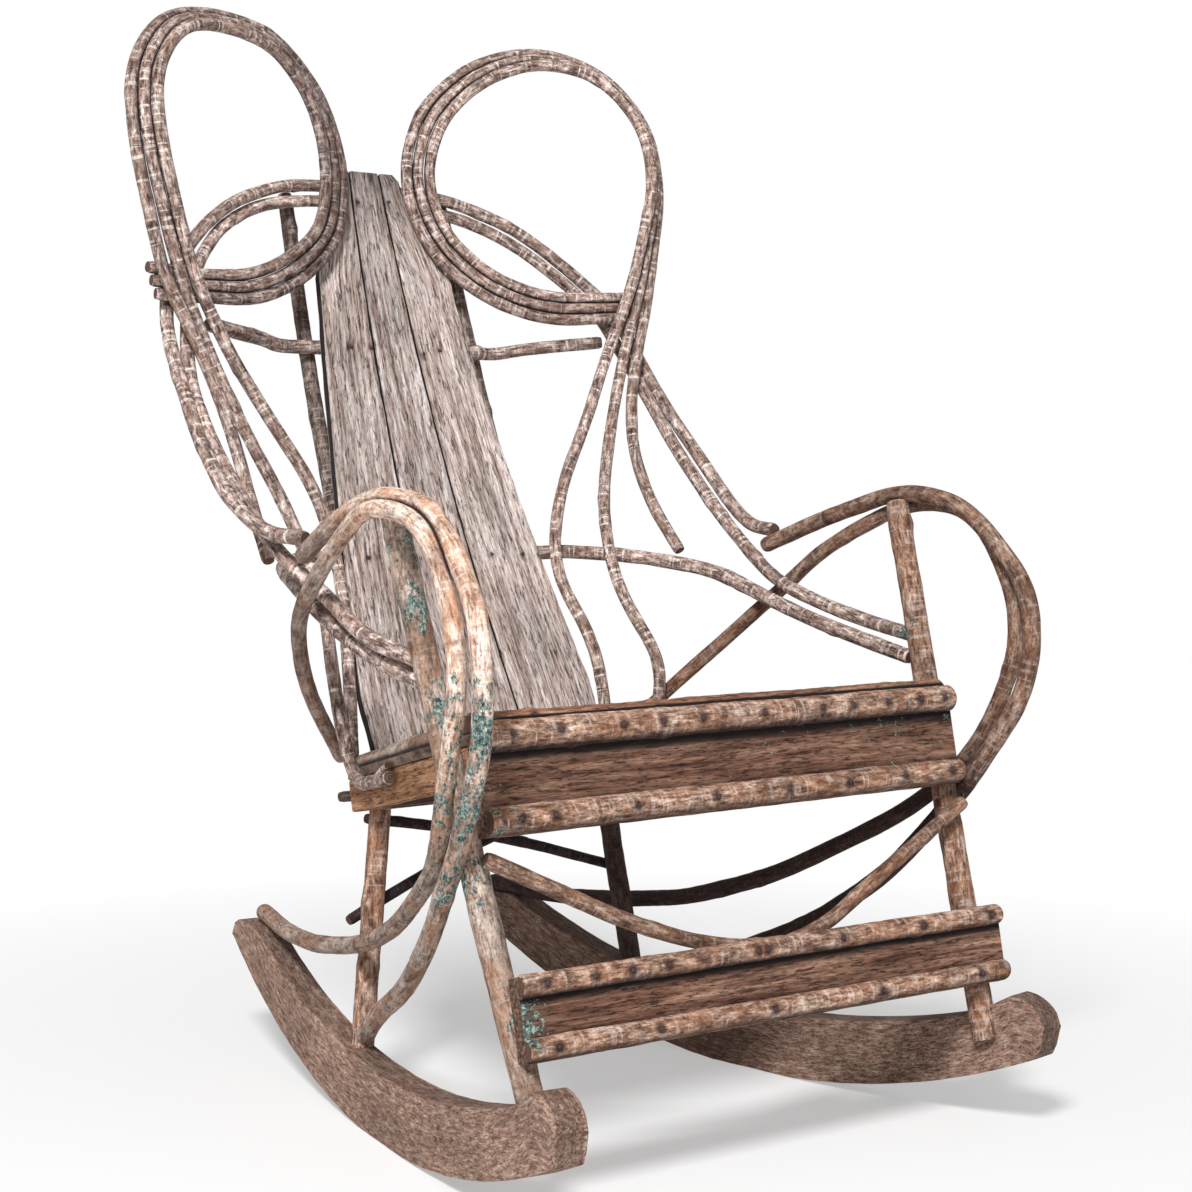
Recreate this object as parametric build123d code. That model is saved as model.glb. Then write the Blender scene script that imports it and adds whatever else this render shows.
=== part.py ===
"""Rustic rocking chair of bent hickory rods, split poles and old boards on sawn rockers.

Millimetres, +Z up, the sitter faces -Y. Left and right are as seen from the front, so left
is -X. Pieces are laid out for the right side with Y = 0 near the front edge of the seat and
Z = 0 on the floor, mirrored for the left side, and moved at the end so that the origin is
the centre of the chair's footprint.
"""
import os
from math import atan, cos, degrees, radians, sin, sqrt, tan

from build123d import *

os.makedirs("parts", exist_ok=True)

NAIL_GAP = 0.3  # room between pieces that are nailed face to face

# Rockers: sawn planks on edge that toe in towards the rear
ROCKER_THICKNESS = 32
ROCKER_HEIGHT = 63
ROCKER_SOLE_RADIUS = 835
ROCKER_TOP_RADIUS = 910
ROCKER_LOW_POINT = 339
ROCKER_FLAT = 104
ROCKER_TAIL = 767
ROCKER_TAIL_CUT = 72
ROCKER_TAIL_BLUNT = 12
ROCKER_NOSE_HEIGHT = 128
ROCKER_TOE_IN = 9.2
ROCKER_FRONT_X = 290.8
ROCKER_FRONT_Y = -120.3

# Front posts lean back from the rockers to the arms
FRONT_POST_DIAMETER = 24
FRONT_POST_FOOT_X = 250
FRONT_POST_FOOT_Z = 82
LEFT_POST_FOOT_Y = -52
RIGHT_POST_FOOT_Y = -80
FRONT_POST_TOP = (297, 92, 588)

# Rear legs stand on the rockers and stop under the seat frame
REAR_LEG_DIAMETER = 22
LEFT_LEG_FOOT = (202, 306, 60)
LEFT_LEG_TOP = (145, 360, 300)
RIGHT_LEG_FOOT = (194, 391, 70)
RIGHT_LEG_TOP = (127, 362, 300)

# Seat: boards on a frame, half-round trims on top, an apron with split poles in front
SEAT_TILT = 12
SEAT_FRONT_Y = -4
SEAT_FRONT_Z = 396
SEAT_FRONT_HALF_WIDTH = 270.5
SEAT_REAR_HALF_WIDTH = 161
SEAT_DEPTH = 411
SEAT_BOARD_THICKNESS = 9
SEAT_BOARD_GAP = 2
SEAT_BOARD_WIDTH = 130
RAIL_THICKNESS = 20
RAIL_HEIGHT = 33
APRON_HALF_WIDTH = 275
APRON_HEIGHT = 80
APRON_THICKNESS = 16
UPPER_POLE_DIAMETER = 26.5
UPPER_POLE_DROP = -3
LOWER_POLE_DIAMETER = 24
LOWER_POLE_DROP = 67
TRIM_WIDTH = 22
TRIM_HEIGHT = 16

# Footboard across the front posts
FOOTBOARD_LENGTH = 538
FOOTBOARD_SHIFT = 6
FOOTBOARD_HEIGHT = 71
FOOTBOARD_THICKNESS = 16
FOOTBOARD_TOP = 202
FOOTBOARD_NOTCH = 3
FOOTBOARD_POLE_DIAMETER = 19
FOOTBOARD_UPPER_POLE_DROP = 8
FOOTBOARD_LOWER_POLE_DROP = 60

# Back splat: three boards bowed to one curve
SPLAT_RADIUS = 3075
SPLAT_CENTRE_Y = -2338
SPLAT_CENTRE_Z = 1790
SPLAT_THICKNESS = 12
SPLAT_FOOT = 290
SPLAT_OUTLINE = ((143, 395), (105, 658), (86, 805), (84, 832), (36, 930), (32, 950))
SPLAT_BOARD_GAP = 2.5
LEFT_SEAM = ((-47.5, 290), (-25, 950))
RIGHT_SEAM = ((44, 290), (13, 950))

# Rods behind the splat
CROSS_RAIL_DIAMETER = 15.5
UPPER_RAIL_Z = 752
LOWER_RAIL_Z = 529
BACK_POST_DIAMETER = 17
LEFT_BACK_POST = ((110, 284), (89, 922))
RIGHT_BACK_POST = ((132, 284), (113, 922))
REAR_POLE_DIAMETER = 11
REAR_POLE_LENGTH = 332
REAR_POLE_Z = 293

# Ear hoops: three rods that lie one behind another outside and one inside another at the foot
EAR_ROD_DIAMETER = 13
EAR_ROD_SPACING = 1.5
HOOP_CENTRE = (192, 560, 944)
HOOP_WING_ANGLE = 17.8
HOOP_LEAN = 11.3
HOOP_LAY_ANGLE = 54
HOOP_SETBACK = 12
LEFT_HOOP_RADII = (145, 151, 155, 148, 162, 164, 158, 151, 140, 146, 174)
RIGHT_HOOP_RADII = (145, 151, 157, 157, 154, 157, 158, 154, 148, 151, 172)
HOOP_END = (306, 522, 795)

# Routes of the rods below the ears, from the seat up to the hoops
EAR_TAILS = {
    "inner": [
        (160, 391, 334),
        (156, 405, 428),
        (133, 458, 513),
        (153, 471, 599),
        (200, 486, 673),
        (242, 504, 750),
        (278, 503, 826),
    ],
    "middle": [
        (212, 236, 335),
        (198, 287, 324),
        (187, 334, 315),
        (190, 350, 340),
        (204, 350, 410),
        (182, 409, 497),
        (198, 453, 581),
        (230, 482, 660),
        (262, 500, 742),
        (291, 506, 825),
    ],
    "outer": [
        (255, 386, 532),
        (249, 431, 585),
        (249, 463, 643),
        (260, 481, 700),
        (279, 494, 755),
        (303, 507, 809),
    ],
}
EAR_RODS = ("outer", "middle", "inner")

# Rods that sweep from the arms over the back to the top of the splat
BACK_ARC_DIAMETER = 14
OUTER_ARC = [
    (284, 262, 563),
    (297, 318, 562),
    (307, 374, 596),
    (306, 425, 645),
    (301, 474, 698),
    (296, 516, 753),
    (282, 546, 808),
    (232, 583, 863),
    (173, 608, 906),
    (105, 630, 929),
    (60, 636, 933),
    (20, 637, 934),
]
INNER_ARC = [
    (283, 56, 457),
    (288, 150, 471),
    (271, 240, 501),
    (282, 301, 534),
    (287, 358, 574),
    (289, 430, 639),
    (287, 493, 713),
    (261, 542, 800),
    (234, 571, 836),
    (190, 604, 879),
    (130, 625, 908),
    (60, 631, 916),
    (20, 632, 917),
]

# Arm rods, from the back over the front post and down to the rockers
OUTER_ARM_DIAMETER = 20
OUTER_ARM = [
    (281, 274, 540),
    (298, 186, 574),
    (307, 90, 601),
    (304, 1, 585),
    (316, -76, 503),
    (314, -73, 415),
    (297, -15, 320),
    (272, 76, 214),
    (242, 167, 150),
    (215, 255, 110),
    (200, 304, 76),
]
INNER_ARM_DIAMETER = 19
INNER_ARM = [
    (174, 389, 335),
    (245, 336, 415),
    (290, 272, 484),
    (300, 195, 543),
    (326, 89, 592),
    (323, 4, 576),
    (326, -56, 470),
    (314, -13, 351),
    (280, 51, 283),
    (232, 192, 204),
    (205, 300, 166),
    (200, 385, 151),
    (172, 500, 142),
    (149, 600, 150.8),
]

# Cross rails: straight behind the splat, then bent round the sides
CROSS_RAIL_STRAIGHT = 140
LOWER_RAIL_END = [
    (160, 475, 531),
    (219, 429, 526),
    (259, 330, 513),
    (268, 258, 485),
    (279, 145, 453),
    (278, 52, 435),
]
UPPER_RAIL_END = [(160, 563, 757), (248, 521, 767)]

# Twigs hung between the front posts, and braces nailed behind the rear legs
FESTOON_DIAMETER = 14
LEFT_FESTOON = [
    (-272, -10, 299),
    (-223, -22, 275),
    (-143, -30, 236),
    (-66, -31, 207),
    (0, -31, 195),
    (78, -32, 193),
]
RIGHT_FESTOON = [
    (2, -17, 181),
    (100, -17, 198),
    (150, -19, 229),
    (190, -22, 253),
    (272, -27, 301),
]
BRACE_DIAMETER = 11
RISING_BRACE = [(-190, 349.6, 180), (-60, 366, 228), (60, 375.5, 258), (146, 384, 272.5)]
FALLING_BRACE = [(182, 394, 186), (60, 387, 225), (-60, 381, 256), (-154, 375.5, 274)]


def rod_along(route, diameter):
    """A round rod along one line."""
    section = Plane(origin=route @ 0, z_dir=route % 0) * Circle(diameter / 2)
    return sweep(section, path=route)


def rod(points, diameter):
    """A round rod along straight runs joined by arcs as large as the runs allow."""
    corners = [Vector(*point) for point in points]
    radii = []
    for before, corner, after in zip(corners, corners[1:], corners[2:]):
        run = min((corner - before).length, (after - corner).length)
        turn = (corner - before).get_angle(after - corner)
        radii.append(0.45 * run / tan(radians(turn / 2)))
    return rod_along(FilletPolyline(*corners, radius=radii), diameter)


def straight_rod(start, end, diameter):
    """A straight round pole between two points."""
    start, end = Vector(*start), Vector(*end)
    axis = Plane(origin=start, z_dir=end - start)
    pole = Cylinder(diameter / 2, (end - start).length, align=(Align.CENTER, Align.CENTER, Align.MIN))
    return axis * pole


def split_pole(diameter, length):
    """A pole split down the middle, along X, its flat face at Y = 0."""
    pole = Rot(0, 90, 0) * Cylinder(diameter / 2, length)
    return pole & Pos(0, -diameter / 2, 0) * Box(length, diameter, diameter)


def half_round(width, height, length):
    """A flattened pole that lies flat side down along +Y from the origin."""
    face = Ellipse(width / 2, height) & Pos(0, height / 2) * Rectangle(width, height)
    return extrude(Plane.XZ * face, amount=-length)


def board(width, depth, height, room=0):
    """A board about X = 0 that runs back from Y = 0 and down from Z = 0."""
    block = Box(width + 2 * room, depth + 2 * room, height + 2 * room)
    return Pos(0, depth / 2, -height / 2) * block


def trimmed(shape, *tools):
    """What is left of a piece, without offcuts, after tools have cut it."""
    for tool in tools:
        shape -= tool
    return max(shape.solids(), key=lambda solid: solid.volume)


def mirrored(shape):
    """The left-hand counterpart of a right-hand shape."""
    return mirror(shape, about=Plane.YZ)


parts = {}


def add_pair(name, right, left=None):
    """Adds a right-hand piece and its mirror image, or another piece that is mirrored."""
    parts[f"{name}_right"] = right
    parts[f"{name}_left"] = mirrored(left or right)


# ---------------------------------------------------------------- frames

seat_frame = Pos(0, SEAT_FRONT_Y, SEAT_FRONT_Z) * Rot(-SEAT_TILT, 0, 0)
seat_taper = (SEAT_FRONT_HALF_WIDTH - SEAT_REAR_HALF_WIDTH) / SEAT_DEPTH
rail_frame = seat_frame * Pos(SEAT_FRONT_HALF_WIDTH, 0, 0) * Rot(0, 0, degrees(atan(seat_taper)))
rail_length = SEAT_DEPTH / cos(atan(seat_taper))
rocker_frame = Pos(ROCKER_FRONT_X, ROCKER_FRONT_Y, 0) * Rot(0, 0, ROCKER_TOE_IN)


def splat_y(height, behind=0):
    """Y of the splat's front face at a height, or of a curve parallel to it, `behind` it."""
    return SPLAT_CENTRE_Y + sqrt((SPLAT_RADIUS + behind) ** 2 - (height - SPLAT_CENTRE_Z) ** 2)


def splat_in_seat(drop):
    """How far behind the seat's front edge the splat's face lies, `drop` under the boards."""
    tilt = radians(SEAT_TILT)
    depth = SEAT_DEPTH
    for _ in range(8):
        y = SEAT_FRONT_Y + depth * cos(tilt) - drop * sin(tilt)
        z = SEAT_FRONT_Z - depth * sin(tilt) - drop * cos(tilt)
        depth += splat_y(z) - y
    return depth


# ---------------------------------------------------------------- rockers


def arc_height(centre_height, radius, distance):
    """Height of a rocker's arc at a distance behind the front corner."""
    return centre_height - sqrt(radius**2 - (distance - ROCKER_LOW_POINT) ** 2)


def sole(distance):
    """Height of the sole's arc, which dips to the flat at its two ends."""
    centre_height = sqrt(ROCKER_SOLE_RADIUS**2 - (ROCKER_FLAT / 2) ** 2)
    return arc_height(centre_height, ROCKER_SOLE_RADIUS, distance)


def hollow(distance):
    """Height of the hollow top edge."""
    return arc_height(ROCKER_HEIGHT + ROCKER_TOP_RADIUS, ROCKER_TOP_RADIUS, distance)


tail_cut_start = ROCKER_TAIL - ROCKER_TAIL_CUT
nose_foot = (-8, sole(-8))
nose_front = (-14, ROCKER_NOSE_HEIGHT - 29)
nose_round = (-3, ROCKER_NOSE_HEIGHT - 8)
nose_peak = (22, ROCKER_NOSE_HEIGHT)
hollow_start = (62, hollow(62))
tail_cut = (tail_cut_start, hollow(tail_cut_start))
tail_end = (ROCKER_TAIL - ROCKER_TAIL_BLUNT, hollow(tail_cut_start))
tail_tip = (ROCKER_TAIL, sole(ROCKER_TAIL))
flat_start = (ROCKER_LOW_POINT - ROCKER_FLAT / 2, 0)
flat_end = (ROCKER_LOW_POINT + ROCKER_FLAT / 2, 0)


def sole_arc(start, end):
    """The part of the sole between two corners of the outline."""
    middle = (start[0] + end[0]) / 2
    return ThreePointArc(start, (middle, sole(middle)), end)


rocker_outline = make_face(
    [
        sole_arc(nose_foot, flat_start),
        Line(flat_start, flat_end),
        sole_arc(flat_end, tail_tip),
        Line(tail_tip, tail_end),
        Line(tail_end, tail_cut),
        ThreePointArc(tail_cut, (ROCKER_LOW_POINT, ROCKER_HEIGHT), hollow_start),
        Line(hollow_start, nose_peak),
        ThreePointArc(nose_peak, nose_round, nose_front),
        Line(nose_front, nose_foot),
    ]
)
rocker = rocker_frame * extrude(Plane.YZ * rocker_outline, amount=-ROCKER_THICKNESS)
add_pair("rocker", rocker)

# Cutters that plane a post to the inner face and scribe feet to the hollow top
planing_block = rocker_frame * Pos(100 - ROCKER_THICKNESS - NAIL_GAP, 60, 60) * Box(200, 400, 200)
hollow_core = rocker_frame * (
    Pos(0, ROCKER_LOW_POINT, ROCKER_HEIGHT + ROCKER_TOP_RADIUS)
    * Rot(0, 90, 0)
    * Cylinder(ROCKER_TOP_RADIUS - NAIL_GAP, 400)
)

# ---------------------------------------------------------------- seat

apron = seat_frame * board(2 * APRON_HALF_WIDTH, APRON_THICKNESS, APRON_HEIGHT)
apron_room = seat_frame * board(2 * APRON_HALF_WIDTH, APRON_THICKNESS, APRON_HEIGHT, NAIL_GAP)
parts["apron_board"] = apron
for name, diameter, drop in (
    ("upper", UPPER_POLE_DIAMETER, UPPER_POLE_DROP),
    ("lower", LOWER_POLE_DIAMETER, LOWER_POLE_DROP),
):
    pole = split_pole(diameter, 2 * APRON_HALF_WIDTH)
    parts[f"apron_pole_{name}"] = seat_frame * Pos(0, 0, -drop) * pole


def side_rail(room=0):
    """A board on edge under the side of the seat, behind the apron."""
    front = APRON_THICKNESS + NAIL_GAP
    block = Box(RAIL_THICKNESS + 2 * room, rail_length - front + 2 * room, RAIL_HEIGHT + 2 * room)
    middle = (rail_length + front) / 2
    rail = rail_frame * Pos(-RAIL_THICKNESS / 2, middle, -RAIL_HEIGHT / 2) * block
    return rail - apron_room


def side_trim(room=0):
    """The half-round along the side of the seat, behind the front trim."""
    front = TRIM_WIDTH + 2 * NAIL_GAP
    pole = half_round(TRIM_WIDTH + 2 * room, TRIM_HEIGHT + room, rail_length - front + room)
    trim = rail_frame * Pos(-TRIM_WIDTH / 2, front, SEAT_BOARD_THICKNESS) * pole
    above = Pos(0, 0, SEAT_BOARD_THICKNESS + TRIM_HEIGHT)
    return trim - seat_frame * above * board(2 * APRON_HALF_WIDTH, TRIM_WIDTH + NAIL_GAP, 2 * TRIM_HEIGHT)


def front_trim(room=0):
    """The half-round along the front of the seat."""
    pole = half_round(TRIM_WIDTH + 2 * room, TRIM_HEIGHT + room, 2 * APRON_HALF_WIDTH)
    place = seat_frame * Pos(-APRON_HALF_WIDTH, TRIM_WIDTH / 2, SEAT_BOARD_THICKNESS)
    return place * Rot(0, 0, -90) * pole


add_pair("side_rail", side_rail())
add_pair("side_trim", side_trim())
parts["front_trim"] = front_trim()

# The rear rail fits between the side rails, its back raked to carry the splat
rail_back = splat_in_seat(0) - NAIL_GAP
rail_back_foot = splat_in_seat(RAIL_HEIGHT) - NAIL_GAP
rear_rail_section = Polyline(
    (rail_back, 0),
    (rail_back_foot, -RAIL_HEIGHT),
    (rail_back_foot - RAIL_THICKNESS, -RAIL_HEIGHT),
    (rail_back - RAIL_THICKNESS, 0),
    close=True,
)
rear_rail = extrude(
    Plane.YZ * make_face(rear_rail_section), amount=SEAT_REAR_HALF_WIDTH, both=True
)
beside_rail = rail_frame * Pos(100 - RAIL_THICKNESS - NAIL_GAP, SEAT_DEPTH / 2, 0) * Box(200, 600, 200)
parts["rear_rail"] = trimmed(seat_frame * rear_rail, beside_rail, mirrored(beside_rail))


def seat_board(corners):
    """A board that lies on the seat frame, with its plan outline given."""
    outline = make_face(Polyline(*corners, close=True))
    return seat_frame * extrude(outline, amount=SEAT_BOARD_THICKNESS, dir=(0, 0, 1))


# Four boards front to back; the outer two are notched round the splat
half_gap = SEAT_BOARD_GAP / 2
board_end = rail_back
inner_start, inner_end = half_gap, SEAT_BOARD_WIDTH + half_gap
outer_start, notch = inner_end + SEAT_BOARD_GAP, SPLAT_OUTLINE[0][0] + NAIL_GAP
add_pair(
    "seat_board_inner",
    seat_board([(inner_start, 0), (inner_end, 0), (inner_end, board_end), (inner_start, board_end)]),
)
add_pair(
    "seat_board_outer",
    seat_board(
        [
            (outer_start, 0),
            (SEAT_FRONT_HALF_WIDTH, 0),
            (SEAT_REAR_HALF_WIDTH, SEAT_DEPTH),
            (notch, SEAT_DEPTH),
            (notch, board_end),
            (outer_start, board_end),
        ]
    ),
)

# ---------------------------------------------------------------- posts, legs and footboard


def post_axis(foot_y, height):
    """Point on the centre line of a right-hand front post."""
    share = (height - FRONT_POST_FOOT_Z) / (FRONT_POST_TOP[2] - FRONT_POST_FOOT_Z)
    x = FRONT_POST_FOOT_X + (FRONT_POST_TOP[0] - FRONT_POST_FOOT_X) * share
    y = foot_y + (FRONT_POST_TOP[1] - foot_y) * share
    return (x, y, height)


footboard_middle = FOOTBOARD_TOP - FOOTBOARD_HEIGHT / 2
left_front = post_axis(LEFT_POST_FOOT_Y, footboard_middle)
right_front = post_axis(RIGHT_POST_FOOT_Y, footboard_middle)
footboard_turn = atan((right_front[1] - left_front[1]) / (right_front[0] + left_front[0]))
footboard_back = FRONT_POST_DIAMETER / 2 - FOOTBOARD_NOTCH + FOOTBOARD_THICKNESS
footboard_frame = (
    Pos(0, (left_front[1] + right_front[1]) / 2, footboard_middle)
    * Rot(0, 0, degrees(footboard_turn))
    * Rot(-SEAT_TILT, 0, 0)
    * Pos(FOOTBOARD_SHIFT, -footboard_back, FOOTBOARD_HEIGHT / 2)
)
parts["footboard"] = footboard_frame * board(FOOTBOARD_LENGTH, FOOTBOARD_THICKNESS, FOOTBOARD_HEIGHT)
footboard_room = footboard_frame * board(
    FOOTBOARD_LENGTH, FOOTBOARD_THICKNESS, FOOTBOARD_HEIGHT, NAIL_GAP
)
for name, drop in (("upper", FOOTBOARD_UPPER_POLE_DROP), ("lower", FOOTBOARD_LOWER_POLE_DROP)):
    pole = split_pole(FOOTBOARD_POLE_DIAMETER, FOOTBOARD_LENGTH)
    parts[f"footboard_pole_{name}"] = footboard_frame * Pos(0, 0, -drop) * pole

arm_room = [
    rod(OUTER_ARM[:9], OUTER_ARM_DIAMETER + 2 * NAIL_GAP),
    rod(INNER_ARM[2:9], INNER_ARM_DIAMETER + 2 * NAIL_GAP),
]


def front_post(foot_y, footboard_cutter, room=0):
    """Planed to the rocker, notched for the boards, hollowed to carry the arm rods."""
    foot = post_axis(foot_y, FRONT_POST_FOOT_Z - 20)
    top = post_axis(foot_y, FRONT_POST_TOP[2] + 20)
    post = straight_rod(foot, top, FRONT_POST_DIAMETER + 2 * room)
    below = Pos(FRONT_POST_FOOT_X, foot_y, FRONT_POST_FOOT_Z - 50) * Box(100, 100, 100)
    seat_room = [apron_room, side_rail(NAIL_GAP), front_trim(NAIL_GAP)]
    return trimmed(post, below, planing_block, footboard_cutter, *seat_room, *arm_room)


add_pair(
    "front_post",
    front_post(RIGHT_POST_FOOT_Y, footboard_room),
    front_post(LEFT_POST_FOOT_Y, mirrored(footboard_room)),
)

under_seat = seat_frame * Pos(0, 300, 100 - RAIL_HEIGHT - NAIL_GAP) * Box(600, 600, 200)


def rear_leg(foot, top):
    """Scribed to the rocker's hollow and cut off under the seat frame."""
    pole = straight_rod(foot, top, REAR_LEG_DIAMETER)
    return trimmed((pole & hollow_core) - under_seat)


right_leg = rear_leg(RIGHT_LEG_FOOT, RIGHT_LEG_TOP)
left_leg = rear_leg(LEFT_LEG_FOOT, LEFT_LEG_TOP)
add_pair("rear_leg", right_leg, left_leg)

# ---------------------------------------------------------------- back

arc_start, arc_end = 320, 350
splat_shell = (
    Pos(SPLAT_CENTRE_Y, SPLAT_CENTRE_Z)
    * make_face(
        [
            CenterArc((0, 0), SPLAT_RADIUS, arc_start, arc_end - arc_start),
            CenterArc((0, 0), SPLAT_RADIUS + SPLAT_THICKNESS, arc_start, arc_end - arc_start),
            *[
                Line(
                    Vector(SPLAT_RADIUS, 0).rotate(Axis.Z, angle),
                    Vector(SPLAT_RADIUS + SPLAT_THICKNESS, 0).rotate(Axis.Z, angle),
                )
                for angle in (arc_start, arc_end)
            ],
        ]
    )
)
splat_curve = extrude(Plane.YZ * splat_shell, amount=SPLAT_OUTLINE[0][0], both=True)


def seam_at(seam, height, offset):
    """Point on a seam's centre line, moved sideways."""
    (foot_x, foot_z), (top_x, top_z) = seam
    return (foot_x + (top_x - foot_x) * (height - foot_z) / (top_z - foot_z) + offset, height)


right_edge = [(SPLAT_OUTLINE[0][0], SPLAT_FOOT), *SPLAT_OUTLINE]
left_edge = [(-x, z) for x, z in right_edge]
splat_outline = make_face(Polyline(*right_edge, *reversed(left_edge), close=True))
low, high = SPLAT_FOOT - 10, SPLAT_OUTLINE[-1][1] + 10
far = SPLAT_OUTLINE[0][0] + 10
half_seam = SPLAT_BOARD_GAP / 2
strips = {
    "left": [
        (-far, low),
        seam_at(LEFT_SEAM, low, -half_seam),
        seam_at(LEFT_SEAM, high, -half_seam),
        (-far, high),
    ],
    "middle": [
        seam_at(LEFT_SEAM, low, half_seam),
        seam_at(RIGHT_SEAM, low, -half_seam),
        seam_at(RIGHT_SEAM, high, -half_seam),
        seam_at(LEFT_SEAM, high, half_seam),
    ],
    "right": [
        seam_at(RIGHT_SEAM, low, half_seam),
        (far, low),
        (far, high),
        seam_at(RIGHT_SEAM, high, half_seam),
    ],
}
for name, strip in strips.items():
    face = splat_outline & make_face(Polyline(*strip, close=True))
    blank = extrude(Plane.XZ * face, amount=-2 * SPLAT_OUTLINE[-1][1])
    parts[f"splat_board_{name}"] = trimmed(blank & splat_curve)


def cross_rail(height, bent_end):
    """Straight behind the splat and bent alike at both ends."""
    y = splat_y(height, SPLAT_THICKNESS + NAIL_GAP + CROSS_RAIL_DIAMETER / 2)
    half = [(CROSS_RAIL_STRAIGHT, y, height), *bent_end]
    return rod([(-x, y, z) for x, y, z in reversed(half)] + half, CROSS_RAIL_DIAMETER)


right_post_room = front_post(RIGHT_POST_FOOT_Y, footboard_room, NAIL_GAP)
left_post_room = front_post(LEFT_POST_FOOT_Y, mirrored(footboard_room), NAIL_GAP)
parts["cross_rail_upper"] = cross_rail(UPPER_RAIL_Z, UPPER_RAIL_END)
parts["cross_rail_lower"] = trimmed(
    cross_rail(LOWER_RAIL_Z, LOWER_RAIL_END), right_post_room, mirrored(left_post_room)
)

post_offset = SPLAT_THICKNESS + CROSS_RAIL_DIAMETER + 2 * NAIL_GAP + BACK_POST_DIAMETER / 2


def back_post(foot, top):
    """A pole behind the cross rails, bowed like the splat."""
    middle = [(low + high) / 2 for low, high in zip(foot, top)]
    bow = ThreePointArc(*[(x, splat_y(z, post_offset), z) for x, z in (foot, middle, top)])
    return rod_along(bow, BACK_POST_DIAMETER)


add_pair("back_post", back_post(*RIGHT_BACK_POST), back_post(*LEFT_BACK_POST))
pole_offset = post_offset + BACK_POST_DIAMETER / 2 + NAIL_GAP + REAR_POLE_DIAMETER / 2
rear_pole = Rot(0, 90, 0) * Cylinder(REAR_POLE_DIAMETER / 2, REAR_POLE_LENGTH)
parts["rear_cross_pole"] = Pos(0, splat_y(REAR_POLE_Z, pole_offset), REAR_POLE_Z) * rear_pole

# ---------------------------------------------------------------- bent rods

HOOP_STEP = 30
ear_pitch = EAR_ROD_DIAMETER + EAR_ROD_SPACING
wing, lean = radians(HOOP_WING_ANGLE), radians(HOOP_LEAN)
across = Vector(cos(wing), -sin(wing), 0)
square_on = Vector(sin(wing), cos(wing), 0)
upwards = square_on * sin(lean) + Vector(0, 0, cos(lean))
backwards = square_on * cos(lean) - Vector(0, 0, sin(lean))


def hoop(radii, rank):
    """Corners of a hoop's route, from its outer side over the top to the crossing."""
    corners = []
    for step, radius in enumerate(radii):
        turn = step * HOOP_STEP
        lay = radians(HOOP_LAY_ANGLE * min(max((180 - turn) / 120, 0), 1))
        setback = HOOP_SETBACK * min(max((turn - 210) / 90, 0), 1)
        reach = radius - rank * ear_pitch * cos(lay)
        if 0 < step < len(radii) - 1:
            reach /= cos(radians(HOOP_STEP / 2))
        corner = Vector(*HOOP_CENTRE)
        corner += across * (reach * cos(radians(turn))) + upwards * (reach * sin(radians(turn)))
        corner += backwards * (setback - rank * ear_pitch * sin(lay))
        corners.append(corner)
    x, y, z = HOOP_END
    return corners + [(x + 4 * rank, y, z + rank * ear_pitch)]


def ear_rod(radii, rank):
    """An ear rod with its foot on the seat or a cross rail."""
    return rod(EAR_TAILS[EAR_RODS[rank]] + hoop(radii, rank), EAR_ROD_DIAMETER)


seat_edge_room = [side_trim(NAIL_GAP), side_rail(NAIL_GAP)]
for rank, name in enumerate(EAR_RODS):
    right, left = ear_rod(RIGHT_HOOP_RADII, rank), ear_rod(LEFT_HOOP_RADII, rank)
    if name != "outer":
        right, left = trimmed(right, *seat_edge_room), trimmed(left, *seat_edge_room)
    add_pair(f"ear_rod_{name}", right, left)

add_pair("back_arc_outer", rod(OUTER_ARC, BACK_ARC_DIAMETER))
inner_arc = rod(INNER_ARC, BACK_ARC_DIAMETER)
add_pair("back_arc_inner", trimmed(inner_arc, right_post_room), trimmed(inner_arc, left_post_room))

outer_arm = rod(OUTER_ARM, OUTER_ARM_DIAMETER) & hollow_core
left_leg_room = straight_rod(LEFT_LEG_FOOT, LEFT_LEG_TOP, REAR_LEG_DIAMETER + 2 * NAIL_GAP)
right_leg_room = straight_rod(RIGHT_LEG_FOOT, RIGHT_LEG_TOP, REAR_LEG_DIAMETER + 2 * NAIL_GAP)
add_pair("arm_rod_outer", trimmed(outer_arm, right_leg_room), trimmed(outer_arm, left_leg_room))
inner_ear_room = rod(EAR_TAILS["inner"][:4], EAR_ROD_DIAMETER + 2 * NAIL_GAP)
inner_arm = rod(INNER_ARM, INNER_ARM_DIAMETER)
rocker_room = Pos(0, 0, NAIL_GAP) * rocker
inner_arm_cutters = [*seat_edge_room, inner_ear_room, rocker_room]
add_pair("arm_rod_inner", trimmed(inner_arm, *inner_arm_cutters))

parts["festoon_left"] = trimmed(rod(LEFT_FESTOON, FESTOON_DIAMETER), mirrored(left_post_room))
parts["festoon_right"] = trimmed(rod(RIGHT_FESTOON, FESTOON_DIAMETER), right_post_room)
parts["brace_rising"] = rod(RISING_BRACE, BRACE_DIAMETER)
parts["brace_falling"] = rod(FALLING_BRACE, BRACE_DIAMETER)

# ---------------------------------------------------------------- out

box = Compound(children=[shape.solid() for shape in parts.values()]).bounding_box()
to_origin = Pos(-box.center().X, -box.center().Y, -box.min.Z)
print("shift", to_origin.position, "size", box.size)
for name, shape in parts.items():
    export_step(to_origin * shape, f"parts/{name}.step")
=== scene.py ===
"""Looks of the rustic rocking chair: bark, weathered boards, rust and old paint.

Lengths are in millimetres in the chair's own layout, with Y = 0 near the front edge of the
seat, until they are written to a mesh, which is in metres about the footprint's centre.
"""
import math
import random

import bpy
from mathutils import Matrix, Vector, kdtree, noise


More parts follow.
